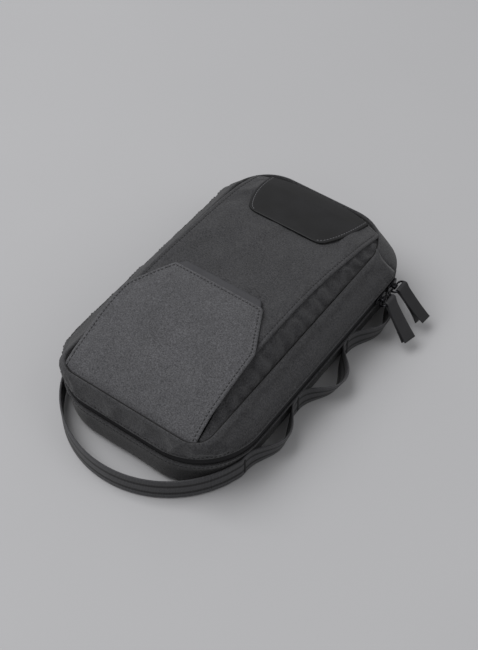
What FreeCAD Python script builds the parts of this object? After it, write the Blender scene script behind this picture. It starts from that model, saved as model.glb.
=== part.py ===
import FreeCAD, Part
import math
import os
import Sketcher

# A small sling bag lying on its padded back. X runs across the bag, Y along it, Z up
# from the surface it lies on. The handle end is at -Y, the leather patch is at +Y,
# and the zip sliders are parked on the +X side. The origin is the middle of the back face.

doc = FreeCAD.newDocument("SlingBag")
sheet = doc.addObject("Spreadsheet::Sheet", "Sizes")

SIZES = [
    # outline of the bag at the zip
    ("bagHalf", 82.3, "half the width at the zip"),
    ("bagNear", 129.0, "middle to the handle end"),
    ("bagFar", 127.0, "middle to the patch end"),
    ("nearCorner", 50.0, "corner radius at the handle end"),
    ("farCorner", 28.0, "corner radius at the patch end"),
    # heights of the two half shells
    ("footTop", 5.0, "top of the rolled bottom edge"),
    ("wallTop", 22.0, "top of the upright lower wall"),
    ("lipBottom", 28.0, "bottom of the lip below the zip"),
    ("slotBottom", 30.0, "bottom of the zip slot"),
    ("slotHeight", 8.0, "width of the zip slot"),
    ("lipHeight", 2.0, "lip above the zip"),
    ("bulgeRise", 10.0, "zip slot to the fullest bulge of the front half"),
    ("seamRise", 18.0, "zip slot to the front seam"),
    # how far each level lies inside the zip outline
    ("footSide", 9.3, "bottom edge, sides"),
    ("footEnd", 5.0, "bottom edge, ends"),
    ("wallSide", 5.3, "lower wall, sides"),
    ("wallEnd", 0.8, "lower wall, ends"),
    ("bulgeSide", 4.5, "front bulge, sides"),
    ("bulgeEnd", 0.6, "front bulge, ends"),
    ("seamSide", 16.3, "front seam, sides"),
    ("seamEnd", 4.0, "front seam, ends"),
    # layers
    ("shell", 1.5, "outer fabric with its backing"),
    ("lining", 0.8, "lining fabric"),
    ("padding", 3.0, "side foam"),
    ("backFoam", 6.0, "back foam"),
    ("backSkin", 2.0, "back fabric"),
    ("gap", 0.1, "clearance between layers"),
    ("liningInset", 11.3, "lining inside the zip outline"),
    ("endPanelLong", 22.0, "end panel, from the patch end"),
    ("hingeGap", 0.3, "half the split in the end panel"),
    # zip
    ("tapeThick", 0.8, "zip tape"),
    ("coilThick", 2.2, "zip coil through the tape"),
    ("coilHeight", 1.1, "one coil row"),
    ("rowGap", 1.6, "between the two coil rows"),
    ("sliderLong", 13.6, "slider length"),
    ("sliderTall", 6.8, "slider width"),
    ("sliderPlate", 1.6, "slider plate"),
    ("sliderClear", 0.3, "slider plate to coil"),
    ("sliderPost", 1.0, "post between the rows"),
    ("sliderPostLong", 4.0, "post length"),
    ("sliderBack", 48.5, "patch end to the leading slider"),
    ("sliderPitch", 17.0, "leading to trailing slider"),
    ("lugLong", 4.4, "ring lug along the zip"),
    ("lugHigh", 3.6, "ring lug across the zip"),
    ("lugOut", 3.8, "ring lug out from the plate"),
    ("wireRadius", 0.7, "ring wire"),
    ("eyeClear", 0.3, "running clearance round the wire"),
    ("ringLong", 13.2, "ring wire to wire, along the zip"),
    ("ringWide", 6.4, "ring wire to wire, outward"),
    ("ringBend", 0.9, "ring corner radius"),
    ("ringDroop", -25.0, "ring below level, degrees; it stands up a little at rest"),
    ("tabWide", 11.2, "leather tab width"),
    ("tabLong", 34.0, "leather tab length"),
    ("leather", 1.2, "leather thickness"),
    ("tabDroop", 52.0, "leather tab below level, degrees"),
    # webbing
    ("webThick", 1.5, "webbing thickness"),
    ("webBottom", 1.0, "underside of the webbing"),
    ("webWide", 20.0, "webbing width"),
    ("tackFar", 20.0, "patch end to the first bar tack"),
    ("tackNear", 38.0, "handle end to the last bar tack"),
    ("tackLong", 6.0, "sewn length at a tack"),
    ("tackLeave", 10.0, "last tack to where the webbing joins the handle arc"),
    ("loopBulge", 11.0, "loop stand-off from the wall"),
    ("handleIn", 2.3, "handle arc radius, less than half the bag width"),
    ("handleCentreIn", 57.0, "handle end to the middle of the handle arc"),
    ("swingOut", 1.0, "swing line of the handle beyond the handle end"),
    ("swingGap", 2.1, "between the fixed and the swinging webbing"),
    ("tackWide", 2.0, "bar tack along the webbing"),
    ("tackTall", 15.0, "bar tack height"),
    ("tackProud", 0.5, "bar tack thickness"),
    # front pocket
    ("crestRise", 21.0, "front seam to the top of the pocket"),
    ("crestIn", 115.0, "handle end to where the pocket is highest"),
    ("panelFarIn", 9.0, "patch end to the panel's far edge"),
    ("mouthIn", 55.0, "handle end to the pocket mouth"),
    ("panelHalf", 56.5, "half the pocket panel's width"),
    ("panelCorner", 8.0, "panel corner radius"),
    ("panelThick", 1.0, "pocket panel fabric"),
    ("backing", 1.2, "panel backing sheet"),
    ("panelLining", 0.7, "panel lining"),
    ("gussetThick", 1.2, "pocket gusset"),
    ("gussetIn", 1.6, "gusset foot inside the front seam"),
    ("gussetTail", 17.0, "handle end to the gusset's low end"),
    ("patchIn", 10.5, "patch end to the patch's far edge"),
    ("patchDeep", 48.0, "patch, far edge to near edge"),
    ("patchHalfFar", 45.5, "half width of the patch, far"),
    ("patchHalfNear", 36.0, "half width of the patch, near"),
    ("patchCorner", 10.0, "patch corner radius"),
    # flap
    ("flapLift", 3.0, "flap's upper face above the pocket panel"),
    ("flapRootIn", 7.0, "handle end to the sewn edge of the flap"),
    ("flapTipHalf", 39.0, "half width at the free edge"),
    ("flapHalf", 58.5, "half width at the shoulders and the root"),
    ("flapShoulder", 34.0, "free edge to the shoulders"),
    ("flapCorner", 8.0, "flap corner radius"),
    ("flapSkin", 0.6, "flap outer fabric"),
    ("stiffener", 1.0, "flap stiffener"),
    ("flapLining", 0.6, "flap lining"),
    ("stiffenerIn", 4.0, "stiffener inside the flap's side edges"),
    ("stiffenerTip", 8.4, "stiffener inside the flap's free edge"),
    ("pullHalf", 35.0, "half width of the pull strip"),
    ("pullOut", 8.0, "pull strip beyond the flap edge"),
    ("pullUnder", 8.0, "pull strip inside the flap"),
    ("pullThick", 0.9, "pull strip thickness"),
    ("magnetRadius", 5.0, "closure magnet"),
    ("magnetThick", 0.8, "closure magnet thickness"),
    ("magnetSide", 25.0, "closure magnet from the middle"),
    ("magnetIn", 101.0, "handle end to the magnets"),
    # seam tape
    ("binding", 0.8, "seam binding"),
    ("bindingHigh", 2.6, "seam binding height"),
]

for row, (alias, value, note) in enumerate(SIZES, 1):
    sheet.set("A%d" % row, note)
    sheet.set("B%d" % row, str(value))
    sheet.setAlias("B%d" % row, alias)
doc.recompute()


def size(expression):
    """Number for an expression of sheet names, such as 'bagHalf - shell'."""
    return float(sheet.evalExpression(expression))


def bind(thing, prop, expression):
    """Ties a property to an expression of sheet names."""
    words = "".join(c if c.isalnum() or c == "." else " " for c in expression).split()
    for word in sorted({w for w in words if w[0].isalpha()}, key=len, reverse=True):
        if word in names:
            expression = replace_word(expression, word)
    thing.setExpression(prop, expression)


def replace_word(text, word):
    """Puts the sheet's name in front of one whole word."""
    out, i = "", 0
    while i < len(text):
        before = text[i - 1] if i else " "
        after = text[i + len(word)] if i + len(word) < len(text) else " "
        whole = not (before.isalnum() or before == ".") and not after.isalnum()
        if text.startswith(word, i) and whole:
            out += "Sizes." + word
            i += len(word)
        else:
            out += text[i]
            i += 1
    return out


names = {alias for alias, _, _ in SIZES}
nodes = {}


def keep(thing, name):
    """Registers an object of the document as a sub-part to be written."""
    thing.Label = name
    nodes[name] = thing
    return thing


# ---------------------------------------------------------------- sketch helpers


def origin_plane(body, role):
    """One of a body's own origin planes."""
    return [f for f in body.Origin.OriginFeatures if f.Role == role][0]


def new_sketch(body, name, role, height="0"):
    """A sketch on one of the body's origin planes, raised to a height along its normal."""
    sketch = body.newObject("Sketcher::SketchObject", name)
    sketch.AttachmentSupport = (origin_plane(body, role), [""])
    sketch.MapMode = "FlatFace"
    sketch.AttachmentOffset.Base = FreeCAD.Vector(0, 0, size(height))
    bind(sketch, "AttachmentOffset.Base.z", height)
    return sketch


def dimension(sketch, constraint, expression):
    """Adds a dimensional constraint whose value follows the sheet."""
    index = sketch.addConstraint(constraint)
    bind(sketch, "Constraints[%d]" % index, expression)


def less(expression, inset):
    return "(%s) - (%s)" % (expression, inset)


def add_outline(sketch, side, end, corner="0"):
    """A rounded rectangle 'side' and 'end' inside the zip outline, corners smaller by 'corner'."""
    half, near, far = less("bagHalf", side), less("bagNear", end), less("bagFar", end)
    r_near, r_far = less("nearCorner", corner), less("farCorner", corner)
    h, n, f, rn, rf = (size(e) for e in (half, near, far, r_near, r_far))
    V, up = FreeCAD.Vector, FreeCAD.Vector(0, 0, 1)
    base = sketch.GeometryCount

    def line(a, b):
        sketch.addGeometry(Part.LineSegment(V(*a, 0), V(*b, 0)), False)

    def arc(centre, r, quarter):
        start = quarter * 1.5707963267948966
        circle = Part.Circle(V(*centre, 0), up, r)
        sketch.addGeometry(Part.ArcOfCircle(circle, start, start + 1.5707963267948966), False)

    line((-h + rn, -n), (h - rn, -n))
    arc((h - rn, -n + rn), rn, 3)
    line((h, -n + rn), (h, f - rf))
    arc((h - rf, f - rf), rf, 0)
    line((h - rf, f), (-h + rf, f))
    arc((-h + rf, f - rf), rf, 1)
    line((-h, f - rf), (-h, -n + rn))
    arc((-h + rn, -n + rn), rn, 2)
    for i in range(8):
        sketch.addConstraint(
            Sketcher.Constraint("Tangent", base + i, 2, base + (i + 1) % 8, 1)
        )
    for i, way in ((0, "Horizontal"), (4, "Horizontal"), (2, "Vertical"), (6, "Vertical")):
        sketch.addConstraint(Sketcher.Constraint(way, base + i))
    sketch.addConstraint(Sketcher.Constraint("Equal", base + 1, base + 7))
    sketch.addConstraint(Sketcher.Constraint("Equal", base + 3, base + 5))
    C = Sketcher.Constraint
    dimension(sketch, C("Radius", base + 1, rn), r_near)
    dimension(sketch, C("Radius", base + 3, rf), r_far)
    dimension(sketch, C("DistanceX", -1, 1, base + 2, 1, h), half)
    dimension(sketch, C("DistanceX", base + 6, 1, -1, 1, h), half)
    dimension(sketch, C("DistanceY", base + 0, 1, -1, 1, n), near)
    dimension(sketch, C("DistanceY", -1, 1, base + 4, 1, f), far)


def add_polygon(sketch, corners):
    """A closed polygon through corners given as pairs of expressions from the sketch's origin."""
    V, C = FreeCAD.Vector, Sketcher.Constraint
    points = [(size(x), size(y)) for x, y in corners]
    base, count = sketch.GeometryCount, len(points)
    for i in range(count):
        a, b = points[i], points[(i + 1) % count]
        sketch.addGeometry(Part.LineSegment(V(*a, 0), V(*b, 0)), False)
    for i in range(count):
        sketch.addConstraint(C("Coincident", base + i, 2, base + (i + 1) % count, 1))
    for i, (x, y) in enumerate(corners):
        for way, expression in (("DistanceX", x), ("DistanceY", y)):
            value = size(expression)
            if value < 0:
                dimension(sketch, C(way, base + i, 1, -1, 1, -value), "-(%s)" % expression)
            else:
                dimension(sketch, C(way, -1, 1, base + i, 1, value), expression)


def new_body(name):
    return doc.addObject("PartDesign::Body", name + "_body")


def pad(body, sketch, length, midplane=False):
    feature = body.newObject("PartDesign::Pad", sketch.Name + "_pad")
    feature.Profile = sketch
    bind(feature, "Length", length)
    if midplane:
        feature.SideType = "Symmetric"
    return feature


# ---------------------------------------------------------------- shells, plates and bands


def shell_body(name, levels, wall):
    """A ring wall lofted through levels (height, side inset, end inset, corner cut)."""
    body = new_body(name)
    for feature_type, extra in (("PartDesign::AdditiveLoft", "0"), ("PartDesign::SubtractiveLoft", wall)):
        sketches = []
        for i, (height, side, end, corner) in enumerate(levels):
            sketch = new_sketch(body, "%s_s%d" % (name, i), "XY_Plane", height)
            grow = [("(%s) + (%s)" % (value, extra)) for value in (side, end, corner)]
            add_outline(sketch, *grow)
            sketches.append(sketch)
        doc.recompute()
        loft = body.newObject(feature_type, name + "_loft")
        loft.Profile = sketches[0]
        loft.Sections = sketches[1:]
        loft.Ruled = True
        doc.recompute()
    return body


def plate(name, side, end, corner, bottom, thickness):
    """A flat sheet with the bag's outline."""
    body = new_body(name)
    sketch = new_sketch(body, name + "_s", "XY_Plane", bottom)
    add_outline(sketch, side, end, corner)
    pad(body, sketch, thickness)
    return keep(body, name)


def band_body(name, inset, thickness, bottom, height):
    """An upright strip that follows the outline; inset is one expression or (side, end, corner)."""
    insets = (inset, inset, inset) if isinstance(inset, str) else inset
    body = new_body(name)
    sketch = new_sketch(body, name + "_s", "XY_Plane", bottom)
    add_outline(sketch, *insets)
    add_outline(sketch, *["(%s) + (%s)" % (value, thickness) for value in insets])
    pad(body, sketch, height)
    return body


def end_zone():
    """A block over the patch end, from where the end panel starts."""
    block = doc.addObject("Part::Box", "EndZone")
    for prop, expression in (
        ("Length", "4 * bagHalf"), ("Width", "bagFar"), ("Height", "4 * bagHalf"),
        ("Placement.Base.x", "-2 * bagHalf"), ("Placement.Base.y", "bagFar - endPanelLong"),
        ("Placement.Base.z", "-bagHalf"),
    ):
        bind(block, prop, expression)
    return block


def combine(kind, name, base, tool):
    """A Part::Cut or Part::Common that keeps both of its inputs in the document."""
    feature = doc.addObject(kind, name + "_cut")
    feature.Base = base
    feature.Tool = tool
    return feature


seamZ = "slotBottom + slotHeight + seamRise"
zipZ = "slotBottom + slotHeight / 2"
slotTop = "slotBottom + slotHeight"
zone = end_zone()

foot = [
    ("0", "footSide", "footEnd", "footSide"),
    ("footTop", "wallSide", "wallEnd", "wallSide / 2"),
    ("wallTop", "wallSide", "wallEnd", "wallSide / 2"),
    ("lipBottom", "0", "0", "0"),
]
crown = [
    (slotTop + " + lipHeight", "0", "0", "0"),
    (slotTop + " + bulgeRise", "bulgeSide", "bulgeEnd", "bulgeSide"),
    (seamZ, "seamSide", "seamEnd", "seamSide / 2"),
]


def build_shells():
    """The two half shells: side panels round three sides, and the end panel split at the hinge."""
    lower = shell_body("lower_side_panel", foot + [("slotBottom", "0", "0", "0")], "shell")
    keep(combine("Part::Cut", "lower_side_panel", lower, zone), "lower_side_panel")
    lower_end = shell_body("end_panel_lower", foot + [(zipZ + " - hingeGap", "0", "0", "0")], "shell")
    keep(combine("Part::Common", "end_panel_lower", lower_end, zone), "end_panel_lower")
    upper = shell_body("upper_side_panel", [(slotTop, "0", "0", "0")] + crown, "shell")
    keep(combine("Part::Cut", "upper_side_panel", upper, zone), "upper_side_panel")
    upper_end = shell_body("end_panel_upper", [(zipZ + " + hingeGap", "0", "0", "0")] + crown, "shell")
    keep(combine("Part::Common", "end_panel_upper", upper_end, zone), "end_panel_upper")


def build_back():
    """Back fabric, foam and lining, stacked inside the lower wall's bottom edge."""
    inside = "footSide + shell + gap"
    end = "footEnd + shell + gap"
    plate("back_panel", inside, end, inside, "0", "backSkin")
    plate("back_padding", inside, end, inside, "backSkin", "backFoam")
    plate("back_lining", inside, end, inside, "backSkin + backFoam", "lining")


def build_tray_layers():
    """Side foam, side lining and the ledge that joins the lining to the zip, in both halves."""
    floor = "backSkin + backFoam + lining"
    wall_in = "wallSide + shell + gap"
    foam = band_body("lower_side_padding", wall_in, "padding", floor, "wallTop - (%s)" % floor)
    keep(foam, "lower_side_padding")
    skin = band_body("lower_side_lining", "liningInset", "lining", floor, "lipBottom - (%s)" % floor)
    keep(skin, "lower_side_lining")
    tape = band_body(
        "lower_seam_binding", "liningInset - gap - binding", "binding", floor + " + gap", "bindingHigh"
    )
    keep(tape, "lower_seam_binding")
    edge = "shell + 3 * gap + tapeThick"
    reach = "liningInset + lining - (%s)" % edge
    keep(band_body("lower_facing", edge, reach, "lipBottom", "lining"), "lower_facing")

    ledge = slotTop + " + lipHeight - lining"
    keep(band_body("upper_facing", edge, reach, ledge, "lining"), "upper_facing")
    start = slotTop + " + lipHeight"
    ceiling = seamZ + " - shell - padding - lining"
    skin = band_body("upper_side_lining", "liningInset", "lining", start, "(%s) - (%s)" % (ceiling, start))
    keep(skin, "upper_side_lining")
    bulge = "bulgeSide + shell + gap"
    foam = band_body(
        "upper_side_padding", bulge, "liningInset - (%s) - gap" % bulge, start + " + gap",
        "bulgeRise - lipHeight - gap",
    )
    keep(foam, "upper_side_padding")


def build_divider():
    """The front wall of the main compartment: fabric, foam, lining and the seam tape round them."""
    side, end, corner = "seamSide + shell + 3 * gap", "seamEnd + shell + 3 * gap", "seamSide / 2 + shell"
    plate("divider_panel", side, end, corner, seamZ + " - shell", "shell")
    foam_bottom = seamZ + " - shell - padding"
    plate("divider_padding", side, end + " + shell", corner, foam_bottom, "padding")
    inset = "liningInset + lining"
    plate("divider_lining", inset, inset, inset, foam_bottom + " - lining", "lining")
    room = " - binding - 2 * gap"
    around = (side + room, end + " + shell" + room, corner + room)
    tape = band_body("upper_seam_binding", around, "binding", foam_bottom + " + gap", "bindingHigh")
    keep(tape, "upper_seam_binding")


def build_zip():
    """Tapes and coil rows, open at the patch end."""
    tape_in = "shell + 2 * gap"
    coil_in = "%s + tapeThick / 2 - coilThick / 2" % tape_in
    half_gap = "rowGap / 2"
    rows = (
        ("lower_zip_tape", tape_in, "tapeThick", "lipBottom + gap",
         "%s - %s - coilHeight - lipBottom - gap" % (zipZ, half_gap)),
        ("lower_zip_coil", coil_in, "coilThick", "%s - %s - coilHeight" % (zipZ, half_gap), "coilHeight"),
        ("upper_zip_coil", coil_in, "coilThick", "%s + %s" % (zipZ, half_gap), "coilHeight"),
        ("upper_zip_tape", tape_in, "tapeThick", "%s + %s + coilHeight" % (zipZ, half_gap),
         "slotHeight / 2 + lipHeight - %s - coilHeight - gap" % half_gap),
    )
    for name, inset, thick, bottom, height in rows:
        band = band_body(name, inset, thick, bottom, height)
        keep(combine("Part::Cut", name, band, zone), name)


# ---------------------------------------------------------------- front pocket and flap


def near(distance):
    """Y of a place given by its distance from the handle end."""
    return "(%s) - bagNear" % distance


panelFar = "bagFar - panelFarIn"
crestY = near("crestIn")

# upper face of the pocket panel: (Y, share of the full rise)
FAR_SLOPE = ((0.0, 0.143), (0.106, 0.343), (0.235, 0.524), (0.424, 0.738), (0.629, 0.886), (0.856, 0.981))
NEAR_SLOPE = ((111, 1.0), (91, 1.0), (70, 0.905))
MOUTH_SHARE = 0.72
FLAP_TAIL = ((33, 0.505), (19, 0.267))
FLAP_ROOT_SHARE = 0.0


def panel_line():
    """Stations of the pocket panel from its far edge to the mouth."""
    line = []
    for part, share in FAR_SLOPE:
        y = "(%s) - %g * ((%s) - (%s))" % (panelFar, part, panelFar, crestY)
        line.append((y, "%g * crestRise" % share))
    for inside, share in NEAR_SLOPE:
        line.append((near("%g / 111 * crestIn" % inside), "%g * crestRise" % share))
    line.append((near("mouthIn"), "%g * crestRise" % MOUTH_SHARE))
    return line


def flap_line():
    """Stations of the flap from its free edge to its sewn edge."""
    line = []
    for inside, share in NEAR_SLOPE:
        line.append((near("%g / 111 * crestIn" % inside), "%g * crestRise" % share))
    line.append((near("mouthIn"), "%g * crestRise" % MOUTH_SHARE))
    for inside, share in FLAP_TAIL:
        line.append((near("%g / 51 * mouthIn" % inside), "%g * crestRise" % share))
    line.append((near("flapRootIn"), "%g * crestRise" % FLAP_ROOT_SHARE))
    return line


def slab_body(name, line, lift, thickness, half):
    """A sheet that follows a line of stations, 'lift' above it, across the bag."""
    body = new_body(name)
    sketch = new_sketch(body, name + "_s", "YZ_Plane")
    top = [(y, "%s + %s + (%s)" % (seamZ, rise, lift)) for y, rise in line]
    under = [(y, "(%s) - (%s)" % (z, thickness)) for y, z in reversed(top)]
    add_polygon(sketch, top + under)
    pad(body, sketch, "2 * (%s)" % half, midplane=True)
    return body


def plan_body(name, right, corner, holes=()):
    """An upright block whose plan is mirrored left to right, with its far corners rounded."""
    body = new_body(name)
    sketch = new_sketch(body, name + "_s", "XY_Plane", "slotBottom")
    left = [("-(%s)" % x, y) for x, y in reversed(right)]
    add_polygon(sketch, right + left)
    for x, y, radius in holes:
        add_circle(sketch, x, y, radius)
    block = pad(body, sketch, "4 * (%s)" % "seamRise + crestRise")
    doc.recompute()
    sewn = size(right[-1][1])
    edges = []
    for i, edge in enumerate(block.Shape.Edges, 1):
        a, b = edge.Vertexes[0].Point, edge.Vertexes[-1].Point
        upright = abs(a.z - b.z) > 1 and abs(a.x - b.x) + abs(a.y - b.y) < 0.001
        if upright and abs(a.y - sewn) > 0.01 and len(edge.Vertexes) == 2 and on_corner(a, right):
            edges.append("Edge%d" % i)
    rounding = body.newObject("PartDesign::Fillet", name + "_round")
    rounding.Base = (block, edges)
    bind(rounding, "Radius", corner)
    return body


def on_corner(point, corners):
    return any(
        abs(abs(point.x) - size(x)) < 0.01 and abs(point.y - size(y)) < 0.01 for x, y in corners
    )


def add_circle(sketch, x, y, radius):
    """A round hole at a signed place in the sketch."""
    C = Sketcher.Constraint
    cx, cy, r = size(x), size(y), size(radius)
    circle = Part.Circle(FreeCAD.Vector(cx, cy, 0), FreeCAD.Vector(0, 0, 1), r)
    g = sketch.addGeometry(circle, False)
    dimension(sketch, C("Radius", g, r), radius)
    pin_point(sketch, g, 3, x, y)


def pin_point(sketch, g, vertex, x, y):
    """Dimensions one point of a sketch from its origin along both axes."""
    C = Sketcher.Constraint
    for way, expression in (("DistanceX", x), ("DistanceY", y)):
        value = size(expression)
        if value < 0:
            dimension(sketch, C(way, g, vertex, -1, 1, -value), "-(%s)" % expression)
        else:
            dimension(sketch, C(way, -1, 1, g, vertex, value), expression)


def layer(name, line, lift, thickness, half, plan, corner, holes=()):
    """A curved sheet cut to its plan."""
    slab = slab_body(name, line, lift, thickness, half)
    block = plan_body(name + "_plan", plan, corner, holes)
    keep(combine("Part::Common", name, slab, block), name)


def magnet_spots(radius):
    return [("%g * magnetSide" % side, near("magnetIn"), radius) for side in (-1, 1)]


def build_pocket():
    """The raised front pocket: gussets, panel, its backing and lining, magnets and the patch."""
    line = panel_line()
    inner = "panelHalf - gussetThick - 3 * gap"
    mouth = near("mouthIn")
    layer("pocket_panel", line, "0", "panelThick", "panelHalf",
          [("panelHalf", panelFar), ("panelHalf", mouth)], "panelCorner")
    layer("panel_backing", line, "-panelThick", "backing", inner,
          [(inner, panelFar + " - 2"), (inner, mouth)], "panelCorner", magnet_spots("magnetRadius + 2 * gap"))
    layer("panel_lining", line, "-(panelThick + backing)", "panelLining", inner,
          [(inner, panelFar + " - 2"), (inner, mouth)], "panelCorner")
    magnets("panel_magnets", "crestRise - panelThick - backing / 2 - magnetThick / 2")
    patch = [
        ("patchHalfFar", "bagFar - patchIn"),
        ("patchHalfFar - 1", "bagFar - patchIn - patchDeep / 6"),
        ("patchHalfNear + 1.5", "bagFar - patchIn - patchDeep / 2"),
        ("patchHalfNear", "bagFar - patchIn - patchDeep"),
    ]
    build_patch(line, patch)
    for side, name in ((1, "pocket_gusset_right"), (-1, "pocket_gusset_left")):
        build_gusset(name, side, line)


def build_patch(line, plan):
    """The leather patch on the far slope of the pocket panel."""
    slab = slab_body("leather_patch", line[:5], "leather + gap", "leather", "panelHalf")
    body = new_body("patch_plan")
    sketch = new_sketch(body, "patch_plan_s", "XY_Plane", "slotBottom")
    add_polygon(sketch, plan + [("-(%s)" % x, y) for x, y in reversed(plan)])
    block = pad(body, sketch, "4 * (seamRise + crestRise)")
    doc.recompute()
    edges = []
    for i, edge in enumerate(block.Shape.Edges, 1):
        a, b = edge.Vertexes[0].Point, edge.Vertexes[-1].Point
        if abs(a.z - b.z) > 1 and on_corner(a, [plan[-1]]):
            edges.append("Edge%d" % i)
    rounding = body.newObject("PartDesign::Fillet", "patch_round")
    rounding.Base = (block, edges)
    bind(rounding, "Radius", "patchCorner")
    keep(combine("Part::Common", "leather_patch", slab, body), "leather_patch")


def magnets(name, rise):
    """A pair of thin disc magnets."""
    body = new_body(name)
    sketch = new_sketch(body, name + "_s", "XY_Plane", "%s + %s" % (seamZ, rise))
    for x, y, radius in magnet_spots("magnetRadius"):
        add_circle(sketch, x, y, radius)
    pad(body, sketch, "magnetThick")
    keep(body, name)


def build_gusset(name, side, line):
    """The sloping side wall of the pocket, lofted along the bag under the panel's edge."""
    body = new_body(name)
    stations = [(y, "%s - panelThick - gap" % rise) for y, rise in line]
    stations.append((near("gussetTail"), "2 * gussetThick"))
    first_y, first_rise = stations[0]
    stations[0] = ("(%s) - 2" % first_y, first_rise)
    foot = "bagHalf - seamSide - gussetIn"
    head_out = "panelHalf - gap"
    sketches = []
    for i, (y, rise) in enumerate(stations):
        sketch = new_sketch(body, "%s_s%d" % (name, i), "XZ_Plane", "-(%s)" % y)
        corners = [
            ("%d * (%s)" % (side, foot), seamZ + " + gap"),
            ("%d * (%s)" % (side, head_out), "%s + %s" % (seamZ, rise)),
            ("%d * (%s - gussetThick)" % (side, head_out), "%s + %s" % (seamZ, rise)),
            ("%d * (%s - 2 * gussetThick)" % (side, foot), seamZ + " + gap"),
        ]
        add_polygon(sketch, corners)
        sketches.append(sketch)
    doc.recompute()
    loft = body.newObject("PartDesign::AdditiveLoft", name + "_loft")
    loft.Profile = sketches[0]
    loft.Sections = sketches[1:]
    loft.Ruled = True
    keep(body, name)


def build_flap():
    """The flap over the pocket mouth, with its pull strip and magnets."""
    line = flap_line()
    tip, root = crestY, near("flapRootIn")

    def plan(inset, tip_inset):
        return [
            ("flapTipHalf - (%s)" % inset, "(%s) - (%s)" % (tip, tip_inset)),
            ("flapHalf - (%s)" % inset, "(%s) - flapShoulder" % tip),
            ("flapHalf - (%s)" % inset, root),
        ]

    layer("flap_outer", line, "flapLift", "flapSkin", "flapHalf", plan("0", "0"), "flapCorner")
    layer("flap_stiffener", line, "flapLift - flapSkin - gap", "stiffener", "flapHalf",
          plan("stiffenerIn", "stiffenerTip"), "flapCorner", magnet_spots("magnetRadius + 2 * gap"))
    layer("flap_lining", line, "flapLift - flapSkin - stiffener - 2 * gap", "flapLining", "flapHalf",
          plan("0", "0"), "flapCorner")
    magnets("flap_magnets", "crestRise + flapLift - flapSkin - gap - magnetThick")

    body = new_body("flap_pull_strip")
    height = "%s + crestRise + flapLift - flapSkin - gap - pullThick" % seamZ
    sketch = new_sketch(body, "flap_pull_strip_s", "XY_Plane", height)
    ends = [("pullHalf", "(%s) + pullOut" % tip), ("pullHalf", "(%s) - pullUnder" % tip)]
    add_polygon(sketch, ends + [("-(%s)" % x, y) for x, y in reversed(ends)])
    block = pad(body, sketch, "pullThick")
    doc.recompute()
    outer = size("(%s) + pullOut" % tip)
    edges = []
    for i, edge in enumerate(block.Shape.Edges, 1):
        a, b = edge.Vertexes[0].Point, edge.Vertexes[-1].Point
        if abs(a.z - b.z) > 0.1 and abs(a.y - outer) < 0.01:
            edges.append("Edge%d" % i)
    rounding = body.newObject("PartDesign::Fillet", "pull_strip_round")
    rounding.Base = (block, edges)
    bind(rounding, "Radius", "pullOut - 1")
    keep(body, "flap_pull_strip")


# ---------------------------------------------------------------- sliders, rings and tabs


def rectangle(sketch, x0, y0, x1, y1):
    add_polygon(sketch, [(x0, y0), (x1, y0), (x1, y1), (x0, y1)])


coilMid = "bagHalf - shell - 2 * gap - tapeThick / 2"


def slider_place(index):
    return "bagFar - sliderBack + %d * sliderPitch" % index


def put(thing, x, y, z):
    """Places a sub-part by expressions."""
    for axis, expression in zip("xyz", (x, y, z)):
        bind(thing, "Placement.Base." + axis, expression)


def build_slider(name, index):
    """Two plates and a post round the coil rows, and a drilled lug for the ring.
    Local origin: middle of the coil; X out of the bag, Y along the zip."""
    body = new_body(name)
    half_coil = "coilThick / 2 + sliderClear"
    parts = (
        ("outer", half_coil, half_coil + " + sliderPlate", "sliderLong", "sliderTall"),
        ("inner", "-(%s + sliderPlate)" % half_coil, "-(%s)" % half_coil, "sliderLong", "sliderTall"),
        ("post", "-(%s)" % half_coil, half_coil, "sliderPostLong", "sliderPost"),
        ("lug", half_coil + " + sliderPlate", half_coil + " + sliderPlate + lugOut", "lugLong", "lugHigh"),
    )
    for part, x0, x1, long_size, tall in parts:
        sketch = new_sketch(body, "%s_%s_s" % (name, part), "XY_Plane", "-(%s) / 2" % tall)
        rectangle(sketch, x0, "-(%s) / 2" % long_size, x1, "%s / 2" % long_size)
        doc.recompute()
        pad(body, sketch, tall)
        doc.recompute()
    drill = new_sketch(body, name + "_drill_s", "XZ_Plane")
    add_circle(drill, lug_axis(), "0", "wireRadius + eyeClear")
    doc.recompute()
    hole = body.newObject("PartDesign::Pocket", name + "_drill")
    hole.Profile = drill
    hole.Type = "ThroughAll"
    hole.SideType = "Symmetric"
    put(body, coilMid, slider_place(index), zipZ)
    keep(body, name)


def lug_axis():
    """The ring's pivot, outward from the coil's middle."""
    return "coilThick / 2 + sliderClear + sliderPlate + lugOut / 2"


def build_ring(name, index):
    """An oval wire ring. Local origin: middle of the wire run that passes through the lug."""
    body = new_body(name)
    path = new_sketch(body, name + "_path", "XY_Plane")
    add_ring_path(path)
    profile = new_sketch(body, name + "_wire", "XZ_Plane")
    add_circle(profile, "0", "0", "wireRadius")
    doc.recompute()
    sweep = body.newObject("PartDesign::AdditivePipe", name + "_sweep")
    sweep.Profile = profile
    sweep.Spine = path
    body.Placement.Rotation = FreeCAD.Rotation(FreeCAD.Vector(0, 1, 0), size("ringDroop"))
    bind(body, "Placement.Rotation.Angle", "ringDroop")
    put(body, "%s + %s" % (coilMid, lug_axis()), slider_place(index), zipZ)
    keep(body, name)


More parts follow.
